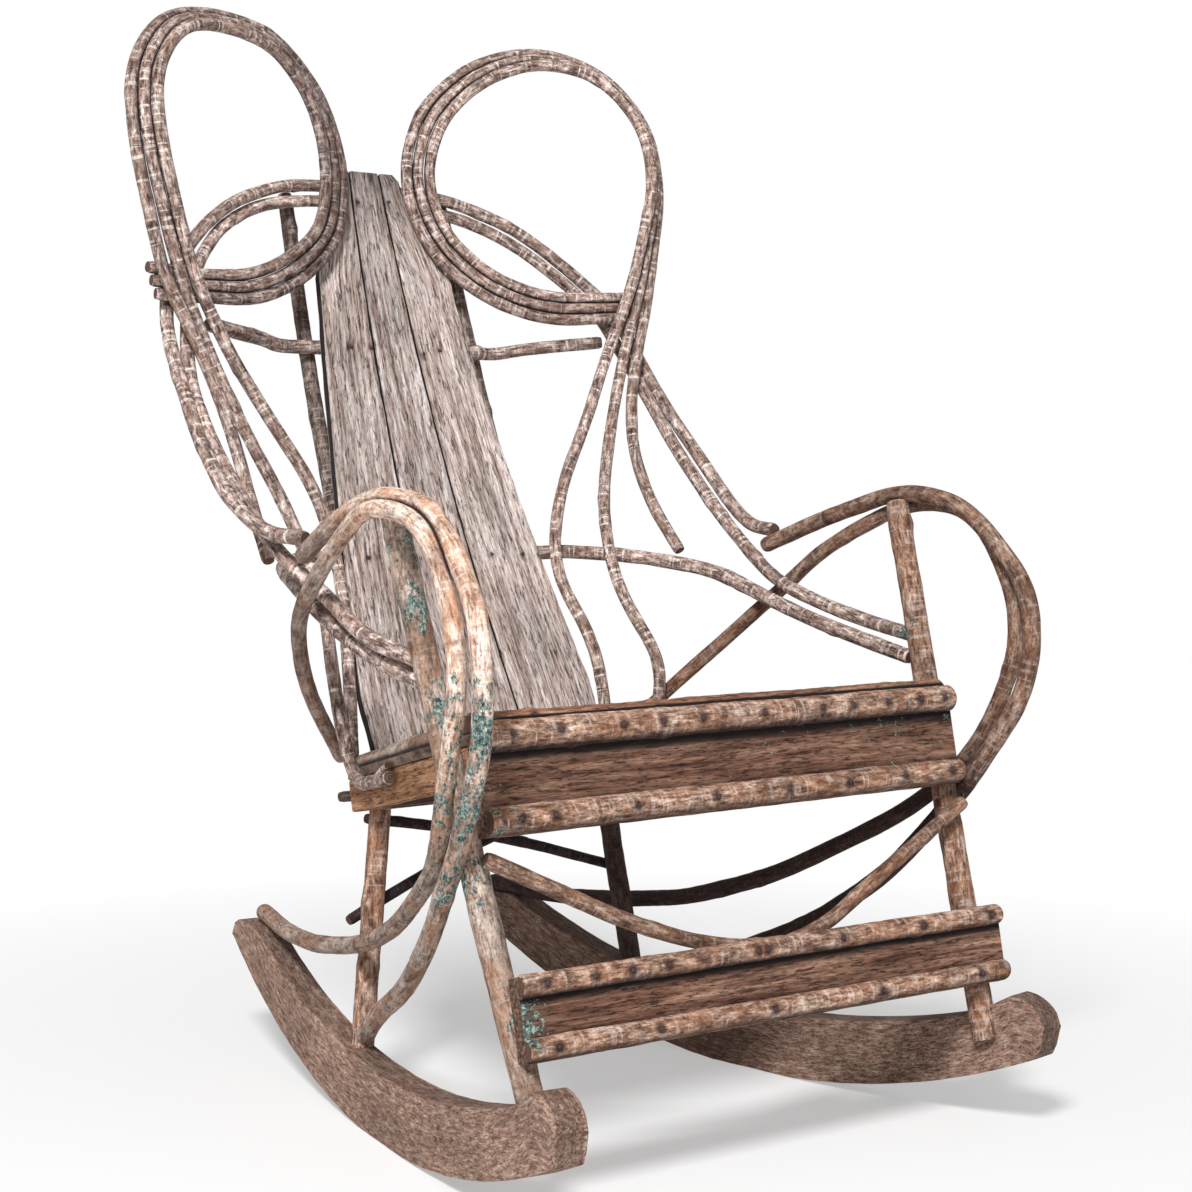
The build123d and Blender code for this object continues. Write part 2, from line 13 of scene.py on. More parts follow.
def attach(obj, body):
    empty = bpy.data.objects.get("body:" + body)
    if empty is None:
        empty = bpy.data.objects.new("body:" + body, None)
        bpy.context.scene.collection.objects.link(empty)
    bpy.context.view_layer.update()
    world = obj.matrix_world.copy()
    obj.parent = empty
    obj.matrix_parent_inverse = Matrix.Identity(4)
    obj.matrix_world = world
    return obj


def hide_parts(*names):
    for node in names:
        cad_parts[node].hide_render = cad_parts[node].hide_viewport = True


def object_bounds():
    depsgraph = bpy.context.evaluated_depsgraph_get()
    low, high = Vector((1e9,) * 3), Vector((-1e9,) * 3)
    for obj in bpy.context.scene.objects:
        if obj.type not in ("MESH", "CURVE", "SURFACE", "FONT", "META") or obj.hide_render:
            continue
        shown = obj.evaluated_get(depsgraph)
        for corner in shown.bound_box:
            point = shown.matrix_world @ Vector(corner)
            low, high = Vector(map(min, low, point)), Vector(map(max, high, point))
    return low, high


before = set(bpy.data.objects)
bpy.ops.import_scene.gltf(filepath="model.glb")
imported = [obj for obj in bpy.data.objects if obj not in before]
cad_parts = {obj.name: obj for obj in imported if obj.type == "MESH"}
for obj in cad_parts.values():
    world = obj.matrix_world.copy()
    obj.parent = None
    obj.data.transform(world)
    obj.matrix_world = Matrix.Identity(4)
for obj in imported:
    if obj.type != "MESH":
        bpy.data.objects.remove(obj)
cad_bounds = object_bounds()

DATUM = Vector((0, 259.504, 0))
MM = 0.001
NOISE_SEED = 7
noise.seed_set(NOISE_SEED)


def srgb(red, green, blue):
    """Linear colour of an 8-bit screen colour."""
    values = [c / 255 for c in (red, green, blue)]
    return [c / 12.92 if c < 0.04045 else ((c + 0.055) / 1.055) ** 2.4 for c in values] + [1]

# ---- materials


class Graph:
    """Linked shader nodes of a material or world."""

    def __init__(self, owner):
        owner.use_nodes = True
        self.tree = owner.node_tree
        self.tree.nodes.clear()

    def add(self, kind, inputs=None, **settings):
        """A node of a kind, with values or links to its inputs."""
        made = self.tree.nodes.new("ShaderNode" + kind)
        for key, value in settings.items():
            setattr(made, key, value)
        for key, value in (inputs or {}).items():
            if isinstance(value, bpy.types.NodeSocket):
                self.tree.links.new(value, made.inputs[key])
            else:
                made.inputs[key].default_value = value
        return made

    def attribute(self, name, output="Fac"):
        return self.add("Attribute", attribute_name=name).outputs[output]

    def stretched(self, vector, scale, offset=(0, 0, 0)):
        mapping = {"Vector": vector, "Scale": scale, "Location": offset}
        return self.add("Mapping", mapping).outputs["Vector"]

    def noise(self, vector, scale, detail=4, roughness=0.6, distortion=0, offset=(0, 0, 0)):
        where = self.stretched(vector, scale, offset)
        inputs = {"Vector": where, "Scale": 1, "Detail": detail, "Roughness": roughness}
        inputs["Distortion"] = distortion
        return self.add("TexNoise", inputs).outputs["Fac"]

    def ramp(self, value, *stops):
        """Each stop is a position from 0 to 1, then a grey level or an 8-bit screen colour."""
        made = self.add("ValToRGB", {"Fac": value})
        elements = made.color_ramp.elements
        while len(elements) < len(stops):
            elements.new(0.5)
        for element, (position, *levels) in zip(elements, stops):
            element.position = position
            element.color = srgb(*levels) if len(levels) == 3 else levels * 3 + [1]
        return made.outputs["Color"]

    def mix(self, factor, first, second, blend="MIX"):
        inputs = {0: factor, 6: first, 7: second}
        return self.add("Mix", inputs, data_type="RGBA", blend_type=blend).outputs[2]

    def math(self, operation, first, second=0.0, clamp=False):
        inputs = {0: first, 1: second}
        return self.add("Math", inputs, operation=operation, use_clamp=clamp).outputs[0]

    def total(self, *terms):
        """Sum of values, each times its weight."""
        parts = [self.math("MULTIPLY", value, weight) for value, weight in terms]
        result = parts[0]
        for part in parts[1:]:
            result = self.math("ADD", result, part)
        return result

    def surface(self, colour, roughness, height, depth, specular=0.25):
        """Ends the graph in a shader with bumps up to depth metres high."""
        bump = self.add("Bump", {"Height": height, "Distance": depth, "Strength": 1})
        inputs = {"Base Color": colour, "Roughness": roughness, "Specular IOR Level": specular}
        inputs["Normal"] = bump.outputs["Normal"]
        shader = self.add("BsdfPrincipled", inputs)
        self.add("OutputMaterial", {"Surface": shader.outputs[0]})


def mossy(graph, grain, colour, height):
    """Old green paint and lichen where the piece's moss value asks for it."""
    spots = graph.noise(grain, (150, 150, 100), detail=8, roughness=0.76)
    cover = graph.total((spots, 1.0), (graph.attribute("moss"), 0.26))
    mask = graph.ramp(cover, (0.665, 0.0), (0.70, 1.0))
    shade = graph.noise(grain, (420, 420, 300), detail=5, roughness=0.7)
    green = graph.ramp(shade, (0.38, 38, 52, 56), (0.49, 90, 114, 108), (0.60, 174, 188, 178))
    return graph.mix(mask, colour, green), graph.total((height, 1.0), (mask, 0.25))


def bark_material(name, stops, warm, ring, warmth, crack=0.7, speck=0.9, deep=srgb(60, 42, 38)):
    """Mottled bark with warm patches, fine broken rings, fissures and specks along its grain.

    ring, warmth, crack and speck are how strong each of these is, from 0 to 1.
    """
    material = bpy.data.materials.new(name)
    graph = Graph(material)
    grain = graph.attribute("grain", "Vector")
    mottle = graph.noise(grain, (190, 190, 62), detail=9, roughness=0.76, distortion=0.35)
    patch = graph.noise(grain, (38, 38, 17), detail=4, roughness=0.55, offset=(3, 1, 7))
    colour = graph.ramp(mottle, *stops)
    warm_mask = graph.math("MULTIPLY", graph.ramp(patch, (0.45, 0.0), (0.60, 1.0)), warmth)
    colour = graph.mix(warm_mask, colour, graph.mix(mottle, deep, warm))
    shadow = graph.noise(grain, (60, 60, 30), detail=5, offset=(8, 3, 1))
    shadow = graph.ramp(shadow, (0.36, 0.52), (0.50, 1.0), (0.66, 1.18))
    colour = graph.mix(0.9, colour, shadow, "MULTIPLY")
    rings = graph.noise(grain, (18, 18, 210), detail=3, roughness=0.5, distortion=0.2, offset=(0, 5, 0))
    where_rings = graph.noise(grain, (60, 60, 20), detail=3, offset=(9, 0, 2))
    where_rings = graph.ramp(where_rings, (0.42, 0.0), (0.52, 1.0))
    lines = graph.ramp(rings, (0.56, 0.0), (0.61, 1.0), (0.68, 0.5))
    lines = graph.math("MULTIPLY", graph.math("MULTIPLY", lines, where_rings), ring)
    colour = graph.mix(lines, colour, srgb(242, 230, 222))
    gaps = graph.ramp(rings, (0.34, 0.4), (0.43, 1.0))
    colour = graph.mix(ring, colour, gaps, "MULTIPLY")
    cracks = graph.noise(grain, (380, 380, 60), detail=6, roughness=0.75, offset=(2, 2, 2))
    crack_mask = graph.ramp(cracks, (0.37, 0.0), (0.45, 1.0))
    colour = graph.mix(crack, colour, graph.mix(crack_mask, deep, [1, 1, 1, 1]), "MULTIPLY")
    specks = graph.noise(grain, (430, 430, 300), detail=7, roughness=0.85)
    speck_mask = graph.ramp(specks, (0.36, 0.10), (0.45, 0.85), (0.56, 1.05), (0.66, 1.6))
    colour = graph.mix(speck, colour, speck_mask, "MULTIPLY")
    tone = graph.ramp(graph.attribute("tone"), (0.0, 0.08), (0.5, 1.05), (1.0, 1.9))
    colour = graph.mix(1.0, colour, tone, "MULTIPLY")
    # Rust stains and painted shade darken the bark towards a dark red-brown.
    colour = graph.mix(graph.attribute("stain_and_shade"), colour, srgb(34, 18, 24))
    height = graph.total((mottle, 0.7), (lines, 0.35), (crack_mask, 0.4), (specks, 0.35))
    colour, height = mossy(graph, grain, colour, height)
    graph.surface(colour, 0.84, height, 0.0013)
    return material


def board_material(name, stops, pores, pore_scale, figure, pore_depth=0.85, bend=0.3, slit_shade=None):
    """A weathered board: long figure, short dark pores and fine fibres along its grain.

    The last argument is how far from the plane under a split pole, in metres, the painted
    shadow of the gap beneath it hides it.
    """
    material = bpy.data.materials.new(name)
    graph = Graph(material)
    grain = graph.attribute("grain", "Vector")
    broad = graph.noise(grain, figure, detail=7, roughness=0.66, distortion=bend)
    colour = graph.ramp(broad, *stops)
    fibre = graph.noise(grain, (620, 620, 90), detail=7, roughness=0.82, offset=(1, 4, 1))
    fibre_shade = graph.ramp(fibre, (0.34, 0.30), (0.50, 1.0), (0.66, 1.5))
    colour = graph.mix(0.9, colour, fibre_shade, "MULTIPLY")
    pits = graph.noise(grain, pore_scale, detail=4, roughness=0.72, distortion=0.4, offset=(5, 0, 3))
    pit_mask = graph.ramp(pits, (0.36, 0.0), (0.46, 1.0))
    colour = graph.mix(pore_depth, colour, graph.mix(pit_mask, pores, [1, 1, 1, 1]), "MULTIPLY")
    blotch = graph.noise(grain, (22, 22, 7), detail=3, offset=(4, 4, 0))
    blotch = graph.ramp(blotch, (0.34, 0.62), (0.52, 1.0), (0.68, 1.22))
    colour = graph.mix(0.7, colour, blotch, "MULTIPLY")
    tone = graph.ramp(graph.attribute("tone"), (0.0, 0.2), (0.5, 1.0), (1.0, 1.7))
    colour = graph.mix(1.0, colour, tone, "MULTIPLY")
    # Rust stains and painted shade darken the board towards near black.
    colour = graph.mix(graph.attribute("stain_and_shade"), colour, srgb(16, 10, 12))
    # Painted shadow of the gap under the piece: near black below that height.
    if slit_shade:
        rise = graph.add("SeparateXYZ", {0: grain}).outputs[0]
        over = graph.math("MULTIPLY", graph.math("SUBTRACT", rise, slit_shade), 900, clamp=True)
        colour = graph.mix(over, srgb(14, 8, 8), colour)
    height = graph.total((pit_mask, 0.55), (fibre, 0.45), (broad, 0.6))
    colour, height = mossy(graph, grain, colour, height)
    graph.surface(colour, 0.86, height, 0.0009)
    return material


def end_grain_material(name, strength):
    """Sawn ends: dark and cracked, with growth rings about a rod's middle."""
    material = bpy.data.materials.new(name)
    graph = Graph(material)
    grain = graph.attribute("grain", "Vector")
    flat = graph.stretched(grain, (1, 1, 0))
    distance = graph.add("VectorMath", {0: flat}, operation="LENGTH").outputs["Value"]
    rings = graph.math("SINE", graph.math("MULTIPLY", distance, 2600))
    fibres = graph.noise(grain, (300, 300, 300), detail=5)
    rings = graph.total((rings, strength), (fibres, 1.0))
    colour = graph.ramp(rings, (0.3, 42, 28, 24), (0.52, 96, 72, 60), (0.72, 150, 124, 108))
    graph.surface(colour, 0.9, rings, 0.0006)
    return material


def iron_material():
    """Rusted nail heads."""
    material = bpy.data.materials.new("rusted_nails")
    graph = Graph(material)
    where = graph.add("TexCoord").outputs["Object"]
    rust = graph.noise(where, (900, 900, 900), detail=5, roughness=0.7)
    colour = graph.ramp(rust, (0.35, 34, 24, 24), (0.55, 74, 48, 42), (0.7, 110, 74, 58))
    graph.surface(colour, 0.7, rust, 0.0005, specular=0.4)
    return material


GREY_BARK = [(0.32, 56, 40, 36), (0.43, 118, 94, 86), (0.52, 176, 153, 143), (0.64, 234, 220, 212)]
TAN_BARK = [(0.32, 66, 42, 34), (0.43, 128, 92, 74), (0.52, 178, 143, 122), (0.64, 224, 202, 186)]
CREAM_BARK = [(0.32, 120, 86, 70), (0.43, 184, 150, 130), (0.52, 222, 198, 182), (0.64, 248, 236, 228)]
BARK = bark_material("bark", GREY_BARK, srgb(176, 132, 104), ring=0.78, warmth=0.35)
POLE = bark_material(
    "pole_bark", TAN_BARK, srgb(190, 126, 82), ring=0.32, warmth=0.5, crack=0.3, speck=0.85
)
CREAM_LOOK = {"ring": 0.42, "warmth": 0.6, "crack": 0.3, "speck": 0.6, "deep": srgb(104, 70, 56)}
CREAM = bark_material("cream_bark", CREAM_BARK, srgb(226, 160, 112), **CREAM_LOOK)
SPLAT = board_material(
    "silvered_board",
    [(0.32, 112, 90, 80), (0.44, 164, 146, 137), (0.55, 200, 185, 179), (0.68, 228, 218, 214)],
    srgb(70, 54, 46),
    pore_scale=(400, 400, 62),
    figure=(240, 240, 12),
    bend=0.12,
)
BOARD = board_material(
    "brown_board",
    [(0.32, 66, 42, 34), (0.46, 114, 80, 64), (0.58, 146, 111, 92), (0.72, 184, 150, 128)],
    srgb(50, 32, 28),
    pore_scale=(560, 560, 70),
    figure=(170, 170, 9),
)
TRIM = board_material(
    "brown_trim",
    [(0.32, 84, 54, 42), (0.46, 132, 94, 74), (0.58, 164, 126, 102), (0.72, 198, 166, 142)],
    srgb(58, 38, 32),
    pore_scale=(480, 480, 60),
    figure=(160, 160, 8),
    slit_shade=0.0066,
)
RAIL = board_material(
    "orange_board",
    [(0.32, 112, 74, 50), (0.46, 162, 114, 80), (0.60, 196, 150, 116), (0.74, 216, 182, 154)],
    srgb(76, 48, 42),
    pore_scale=(480, 480, 44),
    figure=(150, 150, 7),
)
PLANK = board_material(
    "rocker_plank",
    [(0.32, 98, 70, 58), (0.46, 144, 113, 97), (0.58, 173, 145, 129), (0.72, 202, 181, 167)],
    srgb(86, 62, 48),
    pore_scale=(620, 620, 260),
    figure=(260, 260, 64),
    pore_depth=0.6,
)
END = end_grain_material("end_grain", 0.05)
SAWN = end_grain_material("sawn_end", 0.0)
IRON = iron_material()

# ---- mesh helpers

NAIL_SPOTS = []
# Centre of each mossy place, how far it reaches and how strong it is.
MOSS_ZONES = [
    ((-314, -73, 415), 80, 1.0),
    ((-305, -35, 345), 75, 1.0),
    ((-290, 10, 280), 70, 0.8),
    ((-290, 80, 560), 45, 0.8),
    ((-288, 62, 500), 50, 0.9),
    ((-280, 20, 420), 60, 0.9),
    ((-268, 85, 215), 60, 0.5),
    ((-230, 200, 140), 50, 0.4),
    ((-252, 250, 385), 120, 0.45),
    ((-120, 575, 870), 100, 0.4),
    ((-330, 540, 960), 80, 0.3),
    ((283, 58, 457), 28, 1.1),
    ((272, -20, 392), 60, 0.55),
    ((200, -18, 390), 110, 0.4),
    ((60, -16, 388), 120, 0.3),
    ((-264, -58, 170), 34, 1.3),
    ((-255, -30, 300), 60, 0.5),
    ((-250, -10, 250), 50, 0.4),
    ((272, -20, 300), 60, 0.5),
    ((-150, 420, 520), 90, 0.25),
]


def share(value, start, span):
    """How far a value is on its way from start over a span, from 0 to 1."""
    return min(max((value - start) / span, 0), 1)


def moss_at(point):
    """How green a point of the chair is, from 0 to about 1."""
    best = 0
    for centre, reach, strength in MOSS_ZONES:
        best = max(best, strength * (1 - (point - Vector(centre)).length / reach))
    return best


def in_metres(point):
    """The point about the footprint's centre, kept inside the chair's own box."""
    return [min(max(c * MM, low), high) for c, low, high in zip(point - DATUM, *cad_bounds)]


def finish_mesh(name, node, points, faces, ends, grain, tone, stain_and_shade, materials, smooth_angle):
    """Makes the object, in metres, with its attributes, and lets it stand for its node.

    ends are the numbers of the faces that are sawn across the grain, and materials are that
    of the sides and that of the ends.
    """
    mesh = bpy.data.meshes.new(name)
    mesh.from_pydata([in_metres(point) for point in points], [], faces)
    for material in materials:
        mesh.materials.append(material)
    for index in ends:
        mesh.polygons[index].material_index = 1
    # The last attribute darkens each point: rust stains round nails, darker patches and painted shade.
    for label, kind, values in (
        ("grain", "FLOAT_VECTOR", [c * MM for vector in grain for c in vector]),
        ("moss", "FLOAT", [moss_at(point) for point in points]),
        ("tone", "FLOAT", tone),
        ("stain_and_shade", "FLOAT", stain_and_shade),
    ):
        layer = mesh.attributes.new(label, kind, "POINT")
        layer.data.foreach_set("vector" if kind == "FLOAT_VECTOR" else "value", values)
    mesh.shade_smooth()
    mesh.set_sharp_from_angle(angle=math.radians(smooth_angle))
    made = bpy.data.objects.new(name, mesh)
    bpy.context.scene.collection.objects.link(made)
    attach(made, "root")
    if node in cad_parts:
        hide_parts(node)


def bands(rings, sides):
    """Faces between rings that all have this many sides."""
    faces = []
    for low in range(0, rings * sides, sides):
        high = low + sides
        for spoke in range(sides):
            following = (spoke + 1) % sides
            faces.append((low + spoke, low + following, high + following, high + spoke))
    return faces


def even_path(corners, step=4.0):
    """Evenly spaced points along a route with rounded corners."""
    corners = [Vector(corner) for corner in corners]
    rough = [corners[0]]
    for before, corner, after in zip(corners, corners[1:], corners[2:]):
        reach = 0.47 * min((corner - before).length, (after - corner).length)
        start = corner + (before - corner).normalized() * reach
        end = corner + (after - corner).normalized() * reach
        for part in range(9):
            t = part / 8
            rough.append(start * (1 - t) ** 2 + corner * 2 * t * (1 - t) + end * t * t)
    rough.append(corners[-1])
    lengths = [0.0]
    for first, second in zip(rough, rough[1:]):
        lengths.append(lengths[-1] + (second - first).length)
    count = max(3, round(lengths[-1] / step))
    points, index = [], 0
    for part in range(count + 1):
        target = lengths[-1] * part / count
        while index < len(lengths) - 2 and lengths[index + 1] < target:
            index += 1
        span = max(lengths[index + 1] - lengths[index], 1e-6)
        points.append(rough[index].lerp(rough[index + 1], (target - lengths[index]) / span))
    for _ in range(6):
        inner = [(a + b * 2 + c) / 4 for a, b, c in zip(points, points[1:], points[2:])]
        points = [points[0], *inner, points[-1]]
    return points


# Shares of a limb's radius: at its sawn ends, of its slow swell and of its ripple.
END_TRIM, SLOW_SWELL, RIPPLE = 0.86, 0.05, 0.035


def limb(
    node,
    corners,
    diameter,
    tip=None,
    tone=0.5,
    flat=None,
    nails=(),
    material=None,
    wobble=0.8,
    knots=None,
    sides=18,
    rise=1.0,
    step=4.0,
    shade=None,
):
    """A branch along a route: tapered, knotty and sawn off, or split flat on one side.

    flat is the direction in which a split pole bulges from the plane that holds its route,
    and rise is how much higher than a half circle it is.
    nails are places from 0 to 1 along it where rust has stained the bark, and shade gives how much
    darker it is at a point: painted shade on undersides, under the seat and where rods touch, and
    darker patches.
    """
    name = node + "_bark"
    dice = random.Random(name)
    path = even_path(corners, step)
    count = len(path) - 1
    length = sum((b - a).length for a, b in zip(path, path[1:]))
    tip = diameter if tip is None else tip
    number = knots if knots is not None else max(1, round(length / 170))
    # Each knot's place along the limb, the side it faces, its swell and its width.
    ranges = ((0.04, 0.96), (0, 6.28), (0.06, 0.2), (5, 11))
    bumps = [[dice.uniform(*limits) for limits in ranges] for _ in range(number)]
    start = dice.uniform(0, 900)
    direction = (path[1] - path[0]).normalized()
    side = flat.copy() if flat else direction.orthogonal().normalized()
    points, grain, tones, stains_and_shade = [], [], [], []
    for index, centre in enumerate(path):
        ahead = path[min(index + 1, count)] - path[max(index - 1, 0)]
        direction = ahead.normalized()
        side = (side - direction * side.dot(direction)).normalized()
        other = direction.cross(side)
        along = index / count
        where = length * along
        radius = (diameter + (tip - diameter) * along) / 2
        radius *= 1 + SLOW_SWELL * noise.noise(Vector((start, where / 38, 0)))
        sway = noise.noise_vector(Vector((start, where / 70, 9))) * wobble
        sway *= min(1, along * 8, (1 - along) * 8)
        if flat:
            sway -= side * sway.dot(side)
        trim = END_TRIM if index in (0, count) else 1.0
        for spoke in range(sides):
            angle = 2 * math.pi * spoke / sides
            reach = radius * trim
            for place, facing, swell, width in bumps:
                near = math.exp(-(((along - place) * length / width) ** 2))
                reach *= 1 + swell * near * (0.45 + 0.55 * math.cos(angle - facing))
            ripple = Vector((math.cos(angle) * 1.3 + start, math.sin(angle) * 1.3, where / 11))
            reach *= 1 + RIPPLE * noise.noise(ripple)
            out, across = math.cos(angle) * reach, math.sin(angle) * reach
            grain.append((out, across, where + start))
            if flat:
                out = max(out, 0) * rise
            points.append(centre + sway + side * out + other * across)
            tones.append(tone + 0.12 * noise.noise(Vector((start, where / 120, 4))))
            # Painted shade and darker patches from shade, then rust stains round nails.
            rust = shade(points[-1]) if shade else 0.0
            for place in nails:
                gap = math.hypot((along - place) * length, across)
                if out >= 0:
                    rust = max(rust, min(0.92, 1.35 - gap / 6.0))
            stains_and_shade.append(max(rust, 0))
    faces, ends = bands(count, sides), []
    for base, flip in ((0, True), (count * sides, False)):
        points.append(sum(points[base : base + sides], Vector()) / sides)
        grain.append((0, 0, 0))
        tones.append(tone)
        stains_and_shade.append(0)
        for spoke in range(sides):
            pair = (base + spoke, base + (spoke + 1) % sides)
            ends.append(len(faces))
            faces.append((len(points) - 1, *(reversed(pair) if flip else pair)))
    materials = (material or BARK, END)
    finish_mesh(name, node, points, faces, ends, grain, tones, stains_and_shade, materials, 50)
    for place in nails:
        index = min(count, round(place * count))
        ahead = (path[min(index + 1, count)] - path[max(index - 1, 0)]).normalized()
        out = (flat - ahead * flat.dot(ahead)).normalized()
        NAIL_SPOTS.append((path[index] + out * (diameter + (tip - diameter) * place) / 2, out))


# Strips of faces on each side of a plank, and the scale of its end sections.
FACE_STRIPS, END_SHRINK = 16, 0.985


def plank(
    node,
    stations,
    material,
    slot,
    tone=0.5,
    wear=2.0,
    rough_edge=0.7,
    nails=(),
    dark_end=0.0,
    dark_walls=0.0,
    shade=None,
):
    """A board through stations, each the four corners of its section, with worn edges.

    nails are points on its surface about which rust has stained the wood, dark_end is how far
    its last end is dirty, dark_walls is how much darker its two narrow faces are (on the splat,
    painted shade in its seams), and shade gives the painted shade at a point, below the poles.
    """
    name = node + "_wood"
    dice = random.Random(name)
    start = dice.uniform(0, 500)
    points, grain, tones, stains_and_shade = [], [], [], []
    where = 0.0
    previous = None
    for index, corners in enumerate(stations):
        corners = [Vector(corner) for corner in corners]
        middle = sum(corners, Vector()) / 4
        if previous:
            where += (middle - previous).length
        previous = middle
        ring = []
        for this in range(4):
            corner = corners[this]
            before, after = corners[this - 1], corners[(this + 1) % 4]
            wander = noise.noise(Vector((start + this * 7, where / 22, 0)))
            inward = (before - corner).normalized() + (after - corner).normalized()
            corner = corner + inward * (wander + 0.4) * rough_edge
            cut = wear * (1 + 0.6 * noise.noise(Vector((start, where / 15, this * 5.0))))
            cut = min(cut, (before - corner).length / 3)
            cut_after = min(wear, (after - corner).length / 3)
            first = corner + (before - corner).normalized() * cut
            last = corner + (after - corner).normalized() * cut_after
            ring += [first, (first + last) / 2 * 0.5 + corner * 0.5, last]
        dense = []
        for this in range(12):
            first, second = ring[this], ring[(this + 1) % 12]
            dense.append(first)
            if this % 3 == 2:
                dense += [first.lerp(second, part / FACE_STRIPS) for part in range(1, FACE_STRIPS)]
        if index in (0, len(stations) - 1):
            dense = [middle.lerp(point, END_SHRINK) for point in dense]
        across = (corners[1] - corners[0]).normalized()
        through = (corners[3] - corners[0]).normalized()
        for number, point in enumerate(dense):
            points.append(point)
            offset = point - middle
            grain.append((offset.dot(across) + start, offset.dot(through), where + start))
            tones.append(tone + 0.1 * noise.noise(Vector((start, where / 90, 2))))
            quarter, place = divmod(number, FACE_STRIPS + 2)
            # Darker narrow faces (painted shade in the splat's seams), painted shade from shade, rust
            # round nails.
            rust = dark_walls if quarter in (1, 3) and place > 2 else 0.0
            if shade:
                rust = max(rust, shade(point))
            for nail in nails:
                rust = max(rust, min(0.85, 1.2 - (point - Vector(nail)).length / 5))
            stains_and_shade.append(max(rust, 0))
    sides = 4 * (FACE_STRIPS + 2)
    total = len(stations)
    last = (total - 1) * sides
    if dark_end:
        for low in range(0, total * sides, sides):
            darkening = 0.55 * (1 - (points[last] - points[low]).length / dark_end)
            stains_and_shade[low : low + sides] = [max(stain_and_shade, darkening) for stain_and_shade in stains_and_shade[low : low + sides]]
    faces = bands(total - 1, sides)
    ends = [len(faces), len(faces) + 1]
    faces.append(tuple(reversed(range(sides))))
    faces.append(tuple(range(last, last + sides)))
    materials = (material, SAWN)
    finish_mesh(name, node, points, faces, ends, grain, tones, stains_and_shade, materials, 38)


def nail_heads():
    """One piece with every nail head, each a low dome on the surface."""
    points, faces, sides = [], [], 10
    dice = random.Random("nails")
    for place, out in NAIL_SPOTS:
        side = out.orthogonal().normalized()
        other = out.cross(side)
        radius = dice.uniform(1.7, 2.5)
        base = len(points)
        for share, rise in ((1.0, -1.2), (1.0, 0.35), (0.62, 0.85)):
            for spoke in range(sides):
                angle = 2 * math.pi * spoke / sides
                offset = side * math.cos(angle) + other * math.sin(angle)
                points.append(place + offset * radius * share + out * rise)
        points.append(place + out)
        faces += [tuple(base + corner for corner in face) for face in bands(2, sides)]
        rim, crown = base + 2 * sides, base + 3 * sides
        faces += [(rim + spoke, rim + (spoke + 1) % sides, crown) for spoke in range(sides)]
    mesh = bpy.data.meshes.new("nails")
    mesh.from_pydata([in_metres(point) for point in points], [], faces)
    mesh.materials.append(IRON)
    mesh.shade_smooth()
    made = bpy.data.objects.new("nails", mesh)
    bpy.context.scene.collection.objects.link(made)
    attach(made, "root")


def mirrored(points):
    """The same points on the other side of the chair."""
    return [(-x, y, z) for x, y, z in points]

# ---- frames of the chair

SEAT_TILT = math.radians(12)
SEAT_ORIGIN = Vector((0, -4, 396))
SEAT_BACK = Vector((0, math.cos(SEAT_TILT), -math.sin(SEAT_TILT)))
SEAT_UP = Vector((0, math.sin(SEAT_TILT), math.cos(SEAT_TILT)))
SEAT_FRONT_HALF, SEAT_REAR_HALF, SEAT_DEPTH = 270.5, 161, 411
TOE_IN = math.radians(9.2)
ROCKER_BACK = Vector((-math.sin(TOE_IN), math.cos(TOE_IN), 0))
ROCKER_OUT = Vector((math.cos(TOE_IN), math.sin(TOE_IN), 0))
ROCKER_ORIGIN = Vector((290.8, -120.3, 0))
SPLAT_RADIUS, SPLAT_CENTRE_Y, SPLAT_CENTRE_Z, SPLAT_THICKNESS = 3075, -2338, 1790, 12
CROSS_RAIL_DIAMETER, BACK_POST_DIAMETER, REAR_POLE_DIAMETER = 15.5, 17, 11


def in_seat(x, back, up):
    """Point of the seat's frame: from its middle, back along the boards and over them."""
    return SEAT_ORIGIN + Vector((x, 0, 0)) + SEAT_BACK * back + SEAT_UP * up


def splat_y(z, behind=0):
    """How far back the bowed face of the splat is, or a curve that far behind it."""
    return SPLAT_CENTRE_Y + math.sqrt((SPLAT_RADIUS + behind) ** 2 - (z - SPLAT_CENTRE_Z) ** 2)


def board_section(height, thickness):
    """Section of a board, across and up from its upper front edge."""
    return (0, -height), (0, 0), (thickness, 0), (thickness, -height)


def spread(start, end, step):
    """Even values from start to end, about a step apart."""
    count = max(2, round(abs(end - start) / step))
    return [start + (end - start) * part / count for part in range(count + 1)]

# ---- rockers

ROCKER_THICKNESS = 32
SOLE_LOW, SOLE_RADIUS, SOLE_CENTRE, WORN_HALF = 339, 835, 833.379, 52
TOP_RADIUS, TOP_CENTRE = 910, 973
CHIN, CHIN_LENGTH, NOSE_TIP = -8, 6, 99
BROW, BROW_HEIGHT, BROW_RISE, NOSE_REACH, HOLLOW_START = 22, 128, 28.7, 36, 62
TAIL_LEVEL, TAIL_CUT, TAIL_END, TAIL_EDGE = 695, 755, 767, 0.6
FIRST_STATION, LAST_STATION = -13.8, 766.8


def sole(s):
    """Height of a rocker's underside at a distance along it."""
    if abs(s - SOLE_LOW) < WORN_HALF:
        return 0.0
    if s < CHIN:
        return sole(CHIN) + (CHIN - s) / CHIN_LENGTH * (NOSE_TIP - sole(CHIN))
    return SOLE_CENTRE - math.sqrt(SOLE_RADIUS**2 - (s - SOLE_LOW) ** 2)


def hollow(s):
    """Height of the hollow in a rocker's top edge."""
    return TOP_CENTRE - math.sqrt(TOP_RADIUS**2 - (s - SOLE_LOW) ** 2)


